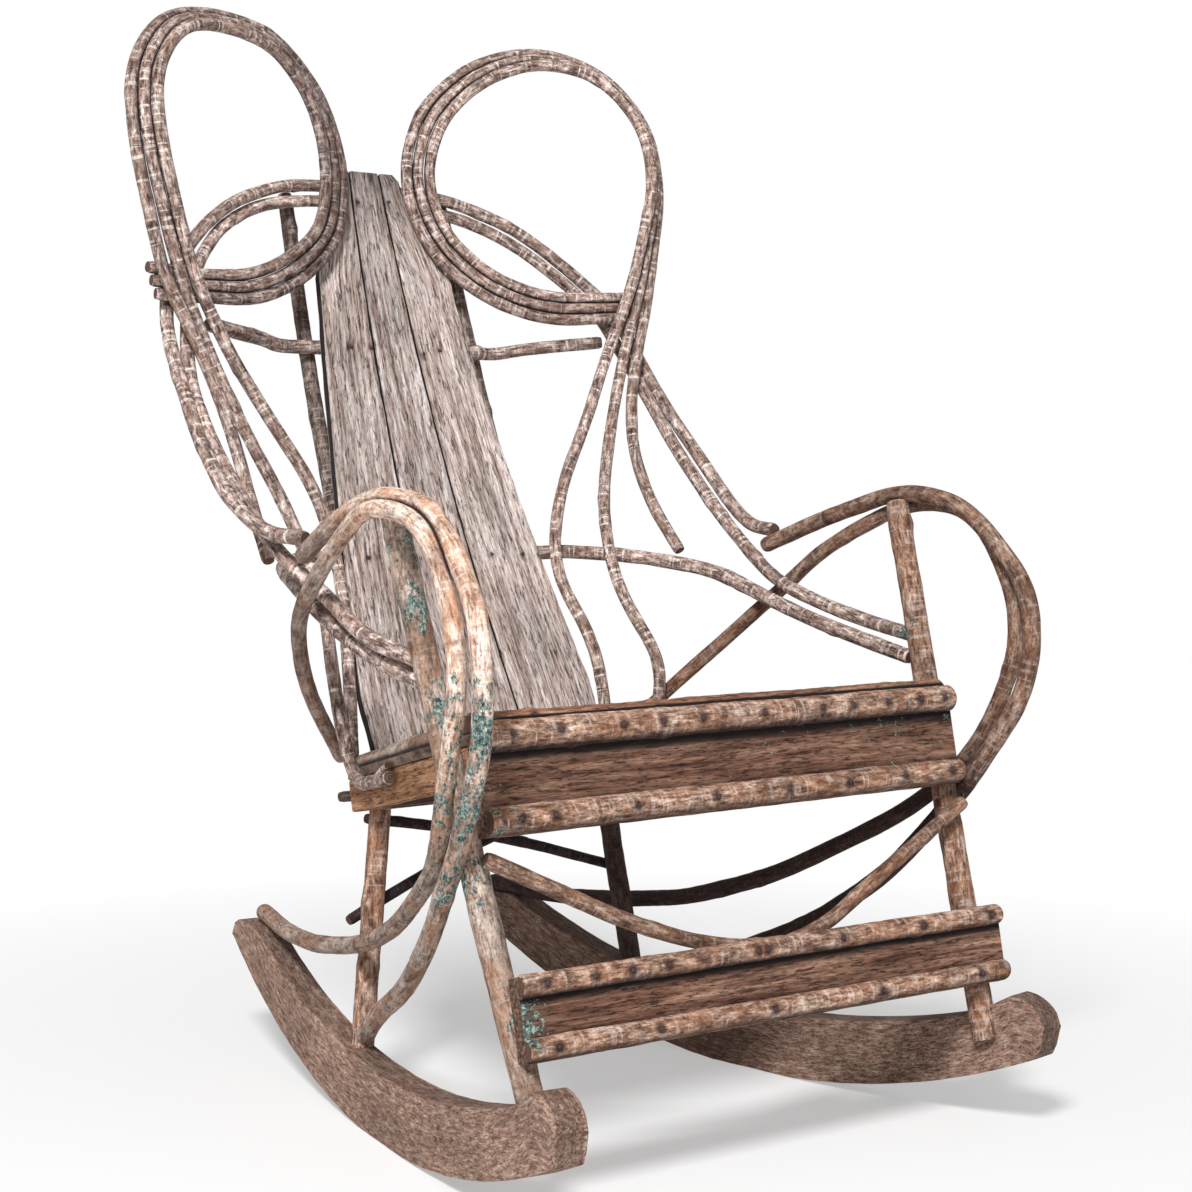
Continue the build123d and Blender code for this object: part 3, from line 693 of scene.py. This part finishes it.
def rocker_top(s):
    """Height of a rocker's top edge, with its nose and its cut tail."""
    if s < BROW:
        bend = math.sqrt(max(0, 1 - ((BROW - s) / NOSE_REACH) ** 2))
        return BROW_HEIGHT - BROW_RISE * (1 - bend)
    if s < HOLLOW_START:
        descent = hollow(HOLLOW_START) - BROW_HEIGHT
        return BROW_HEIGHT + (s - BROW) / (HOLLOW_START - BROW) * descent
    if s < TAIL_LEVEL:
        return hollow(s)
    cut = max(0, (s - TAIL_CUT) / (TAIL_END - TAIL_CUT))
    return hollow(TAIL_LEVEL) + cut * (sole(TAIL_END) + TAIL_EDGE - hollow(TAIL_LEVEL))


for sign, side, tone in ((1, "right", 0.44), (-1, "left", 0.56)):
    stations = []
    for s in spread(FIRST_STATION, BROW, 4) + spread(30, LAST_STATION, 9):
        outer = ROCKER_ORIGIN + ROCKER_BACK * s
        inner = outer - ROCKER_OUT * ROCKER_THICKNESS
        top, bottom = Vector((0, 0, rocker_top(s))), Vector((0, 0, sole(s)))
        corners = [outer + bottom, outer + top, inner + top, inner + bottom]
        stations.append([Vector((sign * p.x, p.y, p.z)) for p in corners])
    if sign < 0:
        stations = [list(reversed(station)) for station in stations]
    look = {"tone": tone, "wear": 2.4, "rough_edge": 0.35, "dark_walls": 0.34}
    plank(f"rocker_{side}", stations, PLANK, "rocker", **look)

# ---- splat

SPLAT_FOOT, SPLAT_TOP, SEAM_HALF = 290, 950, 1.3
LEFT_SEAM, RIGHT_SEAM = (-47.5, -25), (44, 13)
# Half widths of the splat at heights over the floor.
OUTLINE = [(SPLAT_FOOT, 143), (395, 143), (658, 105), (805, 86)]
OUTLINE += [(832, 84), (926, 41), (943, 38), (SPLAT_TOP, 31)]


def splat_half(z):
    """Half width of the splat at a height."""
    for (low, inside), (high, outside) in zip(OUTLINE, OUTLINE[1:]):
        if z <= high:
            return inside + (outside - inside) * (z - low) / (high - low)
    return OUTLINE[-1][1]


def seam(ends, z):
    """Place across the splat of a seam with these ends."""
    return ends[0] + (ends[1] - ends[0]) * (z - SPLAT_FOOT) / (SPLAT_TOP - SPLAT_FOOT)


def splat_edges(label, z):
    """Left and right edge of a board of the splat at a height."""
    left, right = seam(LEFT_SEAM, z), seam(RIGHT_SEAM, z)
    return {
        "left": (-splat_half(z), left - SEAM_HALF),
        "middle": (left + SEAM_HALF, right - SEAM_HALF),
        "right": (right + SEAM_HALF, splat_half(z)),
    }[label]


# Place across and height of each nail.
SPLAT_NAILS = [(-62, 752), (-36, 752), (30, 748), (52, 752)]
SPLAT_NAILS += [(-95, 529), (-60, 527), (-20, 529), (25, 528), (60, 530), (100, 529)]
SPLAT_NAILS += [(-20, 915), (20, 918), (-95, 330), (-30, 332), (20, 331), (80, 330)]
for label, tone in (("left", 0.5), ("middle", 0.46), ("right", 0.58)):
    stations = []
    for z in spread(SPLAT_FOOT, SPLAT_TOP, 7):
        slope = (z - SPLAT_CENTRE_Z) / SPLAT_RADIUS
        behind = Vector((0, math.sqrt(1 - slope**2), slope)) * SPLAT_THICKNESS
        left, right = [Vector((x, splat_y(z), z)) for x in splat_edges(label, z)]
        stations.append([left, right, right + behind, left + behind])
    spots = []
    for x, z in SPLAT_NAILS:
        left, right = splat_edges(label, z)
        if left < x < right:
            spots.append((x, splat_y(z), z))
    # Near-black narrow faces are painted shade in the seams between the boards.
    plank(
        f"splat_board_{label}",
        stations,
        SPLAT,
        "splat_board",
        tone=tone,
        wear=1.3,
        rough_edge=0.5,
        nails=spots,
        dark_end=95,
        dark_walls=0.97,
    )
    NAIL_SPOTS.extend((Vector(spot), Vector((0, -1, -0.3)).normalized()) for spot in spots)

# ---- seat and apron


# How far a pole's shade runs under it, and fades out below and above it.
COVERED, FADE_BELOW, FADE_ABOVE = 12, 7, 6


def under_pole(origin, up, low_edges, high_edges):
    """Painted shade on a board below the edges of a pole, and a fainter painted shade line above
    others.
    """

    def shade(point):
        height = (point - origin).dot(up)
        darkening = 0.0
        for edge in low_edges:
            if height <= edge + COVERED:
                darkening = max(darkening, 1.0 - max(0, edge - height) / FADE_BELOW)
        for edge in high_edges:
            if height >= edge - COVERED:
                darkening = max(darkening, 0.5 - max(0, height - edge) / FADE_ABOVE)
        return darkening

    return shade


def under_side(origin, up, level, reach, most):
    """Painted shade on a pole's surface below a level."""
    return lambda point: most * share((point - origin).dot(up), level, -reach)


APRON_HALF, APRON_HEIGHT, APRON_THICKNESS = 275, 80, 16
UPPER_POLE, LOWER_POLE, TRIM_BASE = 3, -67, 9
SPLIT_POLE = {"material": POLE, "step": 2.2, "sides": 28}
section = board_section(APRON_HEIGHT, APRON_THICKNESS)
stations = [
    [in_seat(x, back, up) for back, up in section] for x in spread(-APRON_HALF, APRON_HALF, 9)
]
# Painted shadow under the upper pole and a painted shade line over the lower one.
shade = under_pole(SEAT_ORIGIN, SEAT_UP, [-15], [-55])
plank("apron_board", stations, BOARD, "frame_board", tone=0.4, shade=shade)

FORWARD = -SEAT_BACK
# Places of the nails along each pole.
UPPER_NAILS = (0.05, 0.14, 0.26, 0.34, 0.42, 0.55, 0.68, 0.75, 0.83, 0.91, 0.97)
LOWER_NAILS = (0.05, 0.11, 0.27, 0.43, 0.585, 0.72, 0.85, 0.965)
# Level, diameters, tone, where painted shade darkens the underside, nails and knots.
for label, level, diameter, tip, tone, dark, places, knots in (
    ("upper", UPPER_POLE, 27, 25, 0.56, (-4, 5, 0.9), UPPER_NAILS, 2),
    ("lower", LOWER_POLE, 25, 22.5, 0.52, (-72, 7, 0.75), LOWER_NAILS, 1),
):
    ends = [in_seat(x, 0, level) for x in (-APRON_HALF, APRON_HALF)]
    shade = under_side(SEAT_ORIGIN, SEAT_UP, *dark)
    look = {"tone": tone, "shade": shade, "nails": places, "knots": knots, **SPLIT_POLE}
    limb(f"apron_pole_{label}", ends, diameter, tip=tip, flat=FORWARD, **look)
bends = ((-APRON_HALF, 11), (-100, 10), (90, 12), (APRON_HALF, 11))
route = [in_seat(x, back, TRIM_BASE) for x, back in bends]
look = {"tone": 0.62, "rise": 1.38, "knots": 3, **SPLIT_POLE, "material": TRIM}
limb("front_trim", route, 22.5, tip=21, flat=SEAT_UP, **look)
TAPER = math.atan((SEAT_FRONT_HALF - SEAT_REAR_HALF) / SEAT_DEPTH)
RAIL_LENGTH = SEAT_DEPTH / math.cos(TAPER)
RAIL_THICKNESS, RAIL_HEIGHT, TRIM_INWARD = 20, 33, 11


def on_rail(sign, inward, back, up):
    """Point of a side rail's frame: in from its outer face, back along it and over it."""
    x = SEAT_FRONT_HALF - inward * math.cos(TAPER) - back * math.sin(TAPER)
    return in_seat(sign * x, back * math.cos(TAPER) - inward * math.sin(TAPER), up)


for sign, side in ((1, "right"), (-1, "left")):
    route = [on_rail(sign, TRIM_INWARD, back, TRIM_BASE) for back in (24, 150, 280, RAIL_LENGTH)]
    look = {"tone": 0.6, "rise": 1.4, "knots": 3, "material": CREAM if side == "left" else POLE}
    # Painted shade along the trim's lower edge, in the crease over the rail.
    look["shade"] = under_side(SEAT_ORIGIN, SEAT_UP, 14.5, 2.5, 0.95)
    limb(f"side_trim_{side}", route, 22, tip=20, flat=SEAT_UP, **look)
    stations = []
    for back in spread(APRON_THICKNESS + 1, RAIL_LENGTH, 9):
        section = board_section(RAIL_HEIGHT, RAIL_THICKNESS)
        corners = [on_rail(sign, inward, back, up) for inward, up in section]
        stations.append(list(reversed(corners)) if sign < 0 else corners)
    plank(f"side_rail_{side}", stations, RAIL, "frame_board", tone=0.55, wear=2.5)

# ---- footboard

POST_TOP = Vector((297, 92, 588))
POST_FEET = {"right": Vector((250, -80, 82)), "left": Vector((250, -52, 82))}


def post_point(side, z):
    """Point of a front post's middle line at a height."""
    foot = POST_FEET[side]
    point = foot.lerp(POST_TOP, (z - foot.z) / (POST_TOP.z - foot.z))
    return Vector((point.x if side == "right" else -point.x, point.y, point.z))


FOOTBOARD_HALF, FOOTBOARD_HEIGHT, FOOTBOARD_THICKNESS, FOOTBOARD_TOP = 269, 71, 16, 202
POST_RADIUS, POST_NOTCH = 12, 3
board_middle = FOOTBOARD_TOP - FOOTBOARD_HEIGHT / 2
right_front, left_front = post_point("right", board_middle), post_point("left", board_middle)
turn = math.atan2(right_front.y - left_front.y, right_front.x - left_front.x)
board_face = -(POST_RADIUS - POST_NOTCH + FOOTBOARD_THICKNESS)
footboard_frame = (
    Matrix.Translation((0, (right_front.y + left_front.y) / 2, board_middle))
    @ Matrix.Rotation(turn, 4, "Z")
    @ Matrix.Rotation(-SEAT_TILT, 4, "X")
    @ Matrix.Translation((6, board_face, FOOTBOARD_HEIGHT / 2))
)
section = board_section(FOOTBOARD_HEIGHT, FOOTBOARD_THICKNESS)
stations = [
    [footboard_frame @ Vector((x, back, up)) for back, up in section]
    for x in spread(-FOOTBOARD_HALF, FOOTBOARD_HALF, 9)
]
board_out = (footboard_frame.to_3x3() @ Vector((0, -1, 0))).normalized()
board_up = (footboard_frame.to_3x3() @ Vector((0, 0, 1))).normalized()
# Painted shadow under the upper pole and a painted shade line over the lower one.
shade = under_pole(footboard_frame.to_translation(), board_up, [-20], [-50])
plank("footboard", stations, BOARD, "frame_board", tone=0.45, wear=2.5, shade=shade)
for label, drop, places, knots in (
    ("upper", 8, (0.04, 0.13, 0.2, 0.27, 0.45, 0.47, 0.63, 0.81, 0.97), 1),
    ("lower", 60, (0.05, 0.24, 0.47, 0.7, 0.93), 2),
):
    ends = [footboard_frame @ Vector((x, 0, -drop)) for x in (-FOOTBOARD_HALF, FOOTBOARD_HALF)]
    # Painted shade on each pole's underside.
    shade = under_side(footboard_frame.to_translation(), board_up, -drop - 4.5, 4.5, 0.85)
    look = {"tone": 0.52, "shade": shade, "nails": places, "knots": knots, **SPLIT_POLE}
    limb(f"footboard_pole_{label}", ends, 19.5, tip=18.5, flat=board_out, **look)

# ---- posts, legs and rods behind

for sign, side in ((1, "right"), (-1, "left")):
    ends = [Vector((sign * p.x, p.y, p.z)) for p in (POST_FEET[side], POST_TOP)]
    middle = (ends[0] + ends[1]) / 2 + Vector((sign * 2, 3, 0))
    bark, tone = (CREAM, 0.36) if side == "left" else (POLE, 0.42)
    limb(f"front_post_{side}", [ends[0], middle, ends[1]], 25, tip=23, tone=tone, material=bark)
# Foot and top of each rear leg, its tone and how much darker it is.
LEGS = {
    "right": ((194, 391, 66), (127, 362, 309), 0.3, lambda point: 0.8),
    "left": ((-202, 306, 62), (-145, 360, 309), 0.5, None),
}
for side, (foot, top, tone, darkening) in LEGS.items():
    limb(f"rear_leg_{side}", [foot, top], 22.5, tip=21, tone=tone, material=POLE, shade=darkening)
behind_rails = SPLAT_THICKNESS + CROSS_RAIL_DIAMETER
for side, foot_x, top_x in (("right", 132, 113), ("left", -110, -89)):
    offset = behind_rails + 0.6 + BACK_POST_DIAMETER / 2
    route = [
        (foot_x + (top_x - foot_x) * part / 6, splat_y(z, offset), z)
        for part, z in enumerate(spread(284, 922, 106.4))
    ]
    limb(f"back_post_{side}", route, BACK_POST_DIAMETER, tip=16, tone=0.22)
POLE_HEIGHT, POLE_HALF = 293, 166
pole_y = splat_y(POLE_HEIGHT, behind_rails + BACK_POST_DIAMETER + 0.9 + REAR_POLE_DIAMETER / 2)
ends = [(x, pole_y, POLE_HEIGHT) for x in (-POLE_HALF, POLE_HALF)]
limb("rear_cross_pole", ends, REAR_POLE_DIAMETER, tone=0.3)


def cross_rail(z, ends):
    """Route of a rail straight across behind the splat and then along both ends."""
    half = [(140, splat_y(z, SPLAT_THICKNESS + 0.3 + CROSS_RAIL_DIAMETER / 2), z), *ends]
    return [*reversed(mirrored(half)), *half]


LOWER_END = [
    (160, 475, 531),
    (219, 429, 526),
    (259, 330, 513),
    (268, 258, 485),
    (279, 145, 453),
    (278, 52, 435),
]
UPPER_END = [(160, 563, 757), (248, 521, 767)]
limb("cross_rail_lower", cross_rail(529, LOWER_END), 16, tip=15, tone=0.6, knots=7)
limb("cross_rail_upper", cross_rail(752, UPPER_END), 15.5, tip=14, tone=0.5)

# ---- ear hoops

EAR_TAILS = {
    "inner": [
        (160, 391, 334),
        (156, 405, 428),
        (133, 458, 513),
        (153, 471, 599),
        (200, 486, 673),
        (242, 504, 750),
        (278, 503, 826),
    ],
    "middle": [
        (212, 236, 335),
        (198, 287, 324),
        (187, 334, 315),
        (190, 350, 340),
        (204, 350, 410),
        (182, 409, 497),
        (198, 453, 581),
        (230, 482, 660),
        (262, 500, 742),
        (291, 506, 825),
    ],
    "outer": [
        (255, 386, 532),
        (249, 431, 585),
        (249, 463, 643),
        (260, 481, 700),
        (279, 494, 755),
        (303, 507, 809),
    ],
}
HOOP_RADII = {
    "left": (145, 151, 155, 148, 162, 164, 158, 151, 140, 146, 174),
    "right": (145, 151, 157, 157, 154, 157, 158, 154, 148, 151, 172),
}
HOOP_CENTRE, HOOP_STEP, PITCH = Vector((192, 560, 944)), 30, 13.1
# Degrees the rods fan out by, none from LAY_END on, and how far back the foot is.
LAY_MOST, LAY_END, LAY_SPAN = 54, 180, 120
FOOT_SETBACK, SETBACK_START, SETBACK_SPAN = 12, 210, 90
wing, lean = math.radians(17.8), math.radians(11.3)
across = Vector((math.cos(wing), -math.sin(wing), 0))
square_on = Vector((math.sin(wing), math.cos(wing), 0))
upwards = square_on * math.sin(lean) + Vector((0, 0, math.cos(lean)))
backwards = square_on * math.cos(lean) - Vector((0, 0, math.sin(lean)))


def hoop(side, rank):
    """Corners of a hoop's route, from its outer side over the top to the crossing.

    The rods lie one behind another on the outer side, and one inside another at the foot.
    """
    corners = []
    radii = HOOP_RADII[side]
    for step, radius in enumerate(radii):
        turn = step * HOOP_STEP
        lay = math.radians(LAY_MOST * share(turn, LAY_END, -LAY_SPAN))
        setback = FOOT_SETBACK * share(turn, SETBACK_START, SETBACK_SPAN)
        setback -= rank * PITCH * math.sin(lay)
        reach = radius - rank * PITCH * math.cos(lay)
        if 0 < step < len(radii) - 1:
            reach /= math.cos(math.radians(HOOP_STEP / 2))
        angle = math.radians(turn)
        corner = HOOP_CENTRE + across * (reach * math.cos(angle))
        corner += upwards * (reach * math.sin(angle)) + backwards * setback
        corners.append(tuple(corner))
    return corners + [(306 + 4 * rank, 522, 795 + rank * PITCH)]


# How soon the painted shade line beside a rod fades, and how dark it gets.
GROOVE_FADE, GROOVE_MOST = 2.2, 0.95


def beside(routes, darkening, reach):
    """Darkening of a rod, with painted shade wherever a rod on one of the routes touches it."""
    path = [point for route in routes for point in even_path(route)]
    tree = kdtree.KDTree(len(path))
    for index, point in enumerate(path):
        tree.insert(point, index)
    tree.balance()

    def shade(point):
        groove = (reach - tree.find(point)[2]) / GROOVE_FADE
        return max(darkening(point), min(groove, GROOVE_MOST))

    return shade


def left_hoop_inner_shade(point):
    """Painted shade makes the left hoop browner on the side next to the splat."""
    return 0.42 * share(point.x, -165, 50) if point.x < 0 and point.z > 770 else 0.0


RANKS = ("outer", "middle", "inner")
for side, base_tone in (("right", 0.55), ("left", 0.5)):
    routes = [EAR_TAILS[label] + hoop(side, rank) for rank, label in enumerate(RANKS)]
    if side == "left":
        routes = [mirrored(route) for route in routes]
    for rank, label in enumerate(RANKS):
        others = routes[:rank] + routes[rank + 1 :]
        look = {"wobble": 0.5, "knots": 8, "sides": 22, "tone": base_tone + 0.05 * (rank - 1)}
        # Painted shade where the rods touch, and on the left hoop's side next to the splat.
        look["shade"] = beside(others, left_hoop_inner_shade, 9.6)
        limb(f"ear_rod_{label}_{side}", routes[rank], 13.2, tip=12.6, **look)
fork = [(-200, 282, 325), (-205, 262, 337), (-208, 246, 345)]
limb("ear_fork_left", fork, 9.5, tip=7.5, tone=0.5, wobble=0.3)

# ---- arcs and arms

OUTER_ARC = [
    (284, 262, 557),
    (297, 318, 560),
    (307, 374, 596),
    (306, 425, 645),
    (301, 474, 698),
    (296, 516, 753),
    (282, 546, 808),
    (232, 583, 863),
    (173, 608, 906),
    (105, 630, 929),
    (60, 636, 933),
    (20, 637, 934),
]
INNER_ARC = [
    (283, 56, 457),
    (288, 150, 471),
    (271, 240, 501),
    (282, 301, 534),
    (287, 358, 574),
    (289, 430, 639),
    (287, 493, 713),
    (261, 542, 800),
    (234, 571, 836),
    (190, 604, 879),
    (130, 625, 908),
    (60, 631, 916),
    (20, 632, 917),
]
OUTER_ARM = [
    (281, 274, 540),
    (298, 186, 574),
    (307, 90, 601),
    (307, 5, 586),
    (317, -72, 503),
    (314, -73, 415),
    (297, -15, 320),
    (272, 76, 214),
    (242, 167, 150),
    (215, 255, 110),
    (200, 304, 76),
]
INNER_ARM = [
    (174, 389, 335),
    (245, 336, 415),
    (290, 272, 484),
    (300, 195, 543),
    (323, 89, 592),
    (321, 0, 577),
    (324, -58, 470),
    (314, -13, 351),
    (280, 51, 283),
    (232, 192, 204),
    (205, 300, 166),
    (200, 385, 151),
    (172, 500, 139),
    (149, 600, 145),
]


def left_arm_darkening(point):
    """How dark the left arm's rods are behind the arm and near the rocker."""
    behind = share(point.y, 120, 110) * share(point.z, 250, 60)
    return max(0.55 * behind, 0.5 * share(point.z, 430, -200))


def right_arm_tint_and_shadow(point):
    """The right arm's rods are brown in front, and painted shadow makes them almost black under the
    seat.
    """
    return 0.28 + 0.6 * share(point.z, 350, -50)


# For each side: how routes are turned, bark, tone, darkening and the inner arc's tone.
ARMS = {
    "right": (list, POLE, 0.45, right_arm_tint_and_shadow, 0.55),
    "left": (mirrored, CREAM, 0.62, left_arm_darkening, 0.66),
}
for side, (turned, bark, tone, darkening, arc_tone) in ARMS.items():
    limb(f"back_arc_outer_{side}", turned(OUTER_ARC), 14.5, tip=13, tone=0.52, knots=6)
    limb(f"back_arc_inner_{side}", turned(INNER_ARC), 14.5, tip=13, tone=arc_tone, knots=7)
    outer_arm, inner_arm = turned(OUTER_ARM), list(reversed(turned(INNER_ARM)))
    look = {"tone": tone, "material": bark, "sides": 28}
    # Painted shade where the arm's two rods touch, over the arm's darkening.
    groove = beside([inner_arm], darkening, 12.2)
    limb(f"arm_rod_outer_{side}", outer_arm, 16.5, tip=18.5, knots=4, shade=groove, **look)
    groove = beside([outer_arm], darkening, 12.2)
    limb(f"arm_rod_inner_{side}", inner_arm, 18, tip=14.5, knots=5, shade=groove, **look)

FESTOON_LEFT = [
    (-272, -10, 299),
    (-223, -22, 275),
    (-143, -30, 236),
    (-66, -31, 207),
    (0, -31, 195),
    (78, -32, 193),
]
FESTOON_RIGHT = [(2, -17, 181), (100, -17, 198), (150, -19, 229), (190, -22, 253), (272, -27, 301)]
BRACE_RISING = [(-190, 349.6, 180), (-60, 366, 228), (60, 375.5, 258), (146, 384, 272.5)]
BRACE_FALLING = [(182, 394, 186), (60, 387, 225), (-60, 381, 256), (-154, 375.5, 274)]
limb("festoon_left", FESTOON_LEFT, 14.5, tip=13, tone=0.42, material=POLE)
limb("festoon_right", FESTOON_RIGHT, 14, tip=13, tone=0.36, material=POLE)
limb("brace_rising", BRACE_RISING, 11, tone=0.3, knots=4, shade=lambda point: 0.85)
limb("brace_falling", BRACE_FALLING, 11, tone=0.3, knots=4, shade=lambda point: 0.85)

# ---- pieces that keep their CAD mesh


def plain_board(name, stops, scale):
    """A board that keeps its CAD mesh, with figure along the seat or across it."""
    material = bpy.data.materials.new(name)
    graph = Graph(material)
    where = graph.add("TexCoord").outputs["Object"]
    broad = graph.noise(where, scale, detail=6, roughness=0.65, distortion=0.8)
    colour = graph.ramp(broad, *stops)
    pits = graph.noise(where, [value * 5 for value in scale], detail=4, roughness=0.7)
    colour = graph.mix(0.8, colour, graph.ramp(pits, (0.36, 0.3), (0.46, 1.0)), "MULTIPLY")
    graph.surface(colour, 0.86, graph.total((broad, 0.5), (pits, 0.6)), 0.0009)
    return material


SEAT_STOPS = [(0.32, 70, 52, 44), (0.46, 112, 92, 80), (0.60, 146, 126, 112), (0.74, 176, 160, 148)]
seat_material = plain_board("seat_board", SEAT_STOPS, (90, 6, 90))
rail_material = plain_board("rear_rail_board", SEAT_STOPS, (6, 90, 90))
for node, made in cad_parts.items():
    if node.startswith("seat_board") or node == "rear_rail":
        made.data.materials.clear()
        made.data.materials.append(rail_material if node == "rear_rail" else seat_material)

nail_heads()

# ---- stage


def seen_directly(graph):
    """1 for camera, glossy and transmission rays, 0 for those that light the chair."""
    light = graph.add("LightPath").outputs
    seen = graph.math("MAXIMUM", light["Is Camera Ray"], light["Is Glossy Ray"])
    return graph.math("MAXIMUM", seen, light["Is Transmission Ray"])


def floor_material():
    """Pale floor that keeps the chair's shadow and turns plain white further away."""
    material = bpy.data.materials.new("floor")
    graph = Graph(material)
    where = graph.add("NewGeometry").outputs["Position"]
    distance = graph.add("VectorMath", {0: where}, operation="LENGTH").outputs["Value"]
    far = graph.ramp(graph.math("MULTIPLY", distance, 0.4), (0.16, 0.42), (0.5, 1.0))
    seen = seen_directly(graph)
    matte = graph.add("BsdfDiffuse", {"Color": (0.93, 0.93, 0.93, 1)})
    white = graph.add("Emission", {"Color": (1, 1, 1, 1), "Strength": 1.0})
    inputs = {0: graph.math("MULTIPLY", far, seen), 1: matte.outputs[0], 2: white.outputs[0]}
    mixed = graph.add("MixShader", inputs).outputs[0]
    graph.add("OutputMaterial", {"Surface": mixed})
    return material


bpy.ops.mesh.primitive_circle_add(vertices=96, radius=30, fill_type="NGON")
floor = bpy.context.object
floor.name = "floor"
floor.data.materials.append(floor_material())

world = bpy.data.worlds.new("studio")
bpy.context.scene.world = world
graph = Graph(world)
soft = graph.add("Background", {"Color": (1, 1, 1, 1), "Strength": 0.22})
plain = graph.add("Background", {"Color": (1, 1, 1, 1), "Strength": 1.0})
inputs = {0: seen_directly(graph), 1: soft.outputs[0], 2: plain.outputs[0]}
mixed = graph.add("MixShader", inputs).outputs[0]
graph.add("OutputWorld", {"Surface": mixed})


def area_light(name, place, target, size, power):
    lamp = bpy.data.lights.new(name, "AREA")
    lamp.shape = "DISK"
    lamp.size = size
    lamp.energy = power
    made = bpy.data.objects.new(name, lamp)
    made.location = place
    made.rotation_euler = (Vector(target) - Vector(place)).to_track_quat("-Z", "Y").to_euler()
    bpy.context.scene.collection.objects.link(made)


area_light("key", (-2.4, -2.3, 3.5), (0, 0, 0.5), 1.0, 228)
area_light("fill", (-0.6, -3.8, 1.2), (0, 0, 0.5), 2.2, 16)

camera = bpy.data.cameras.new("camera")
camera.sensor_width = 36
camera.lens = 66.44
view = bpy.data.objects.new("camera", camera)
to_right = Vector((0.79983, -0.60023, 0))
to_top = Vector((0.03208, 0.04275, 0.99857))
ahead = Vector((0.599368, 0.798687, -0.053451))
view.matrix_world = Matrix((to_right, to_top, -ahead)).transposed().to_4x4()
view.location = (Vector((-1275.12, -1498.96, 611.8)) - DATUM) * MM
bpy.context.scene.collection.objects.link(view)
bpy.context.scene.camera = view
bpy.context.scene.view_settings.view_transform = "Standard"
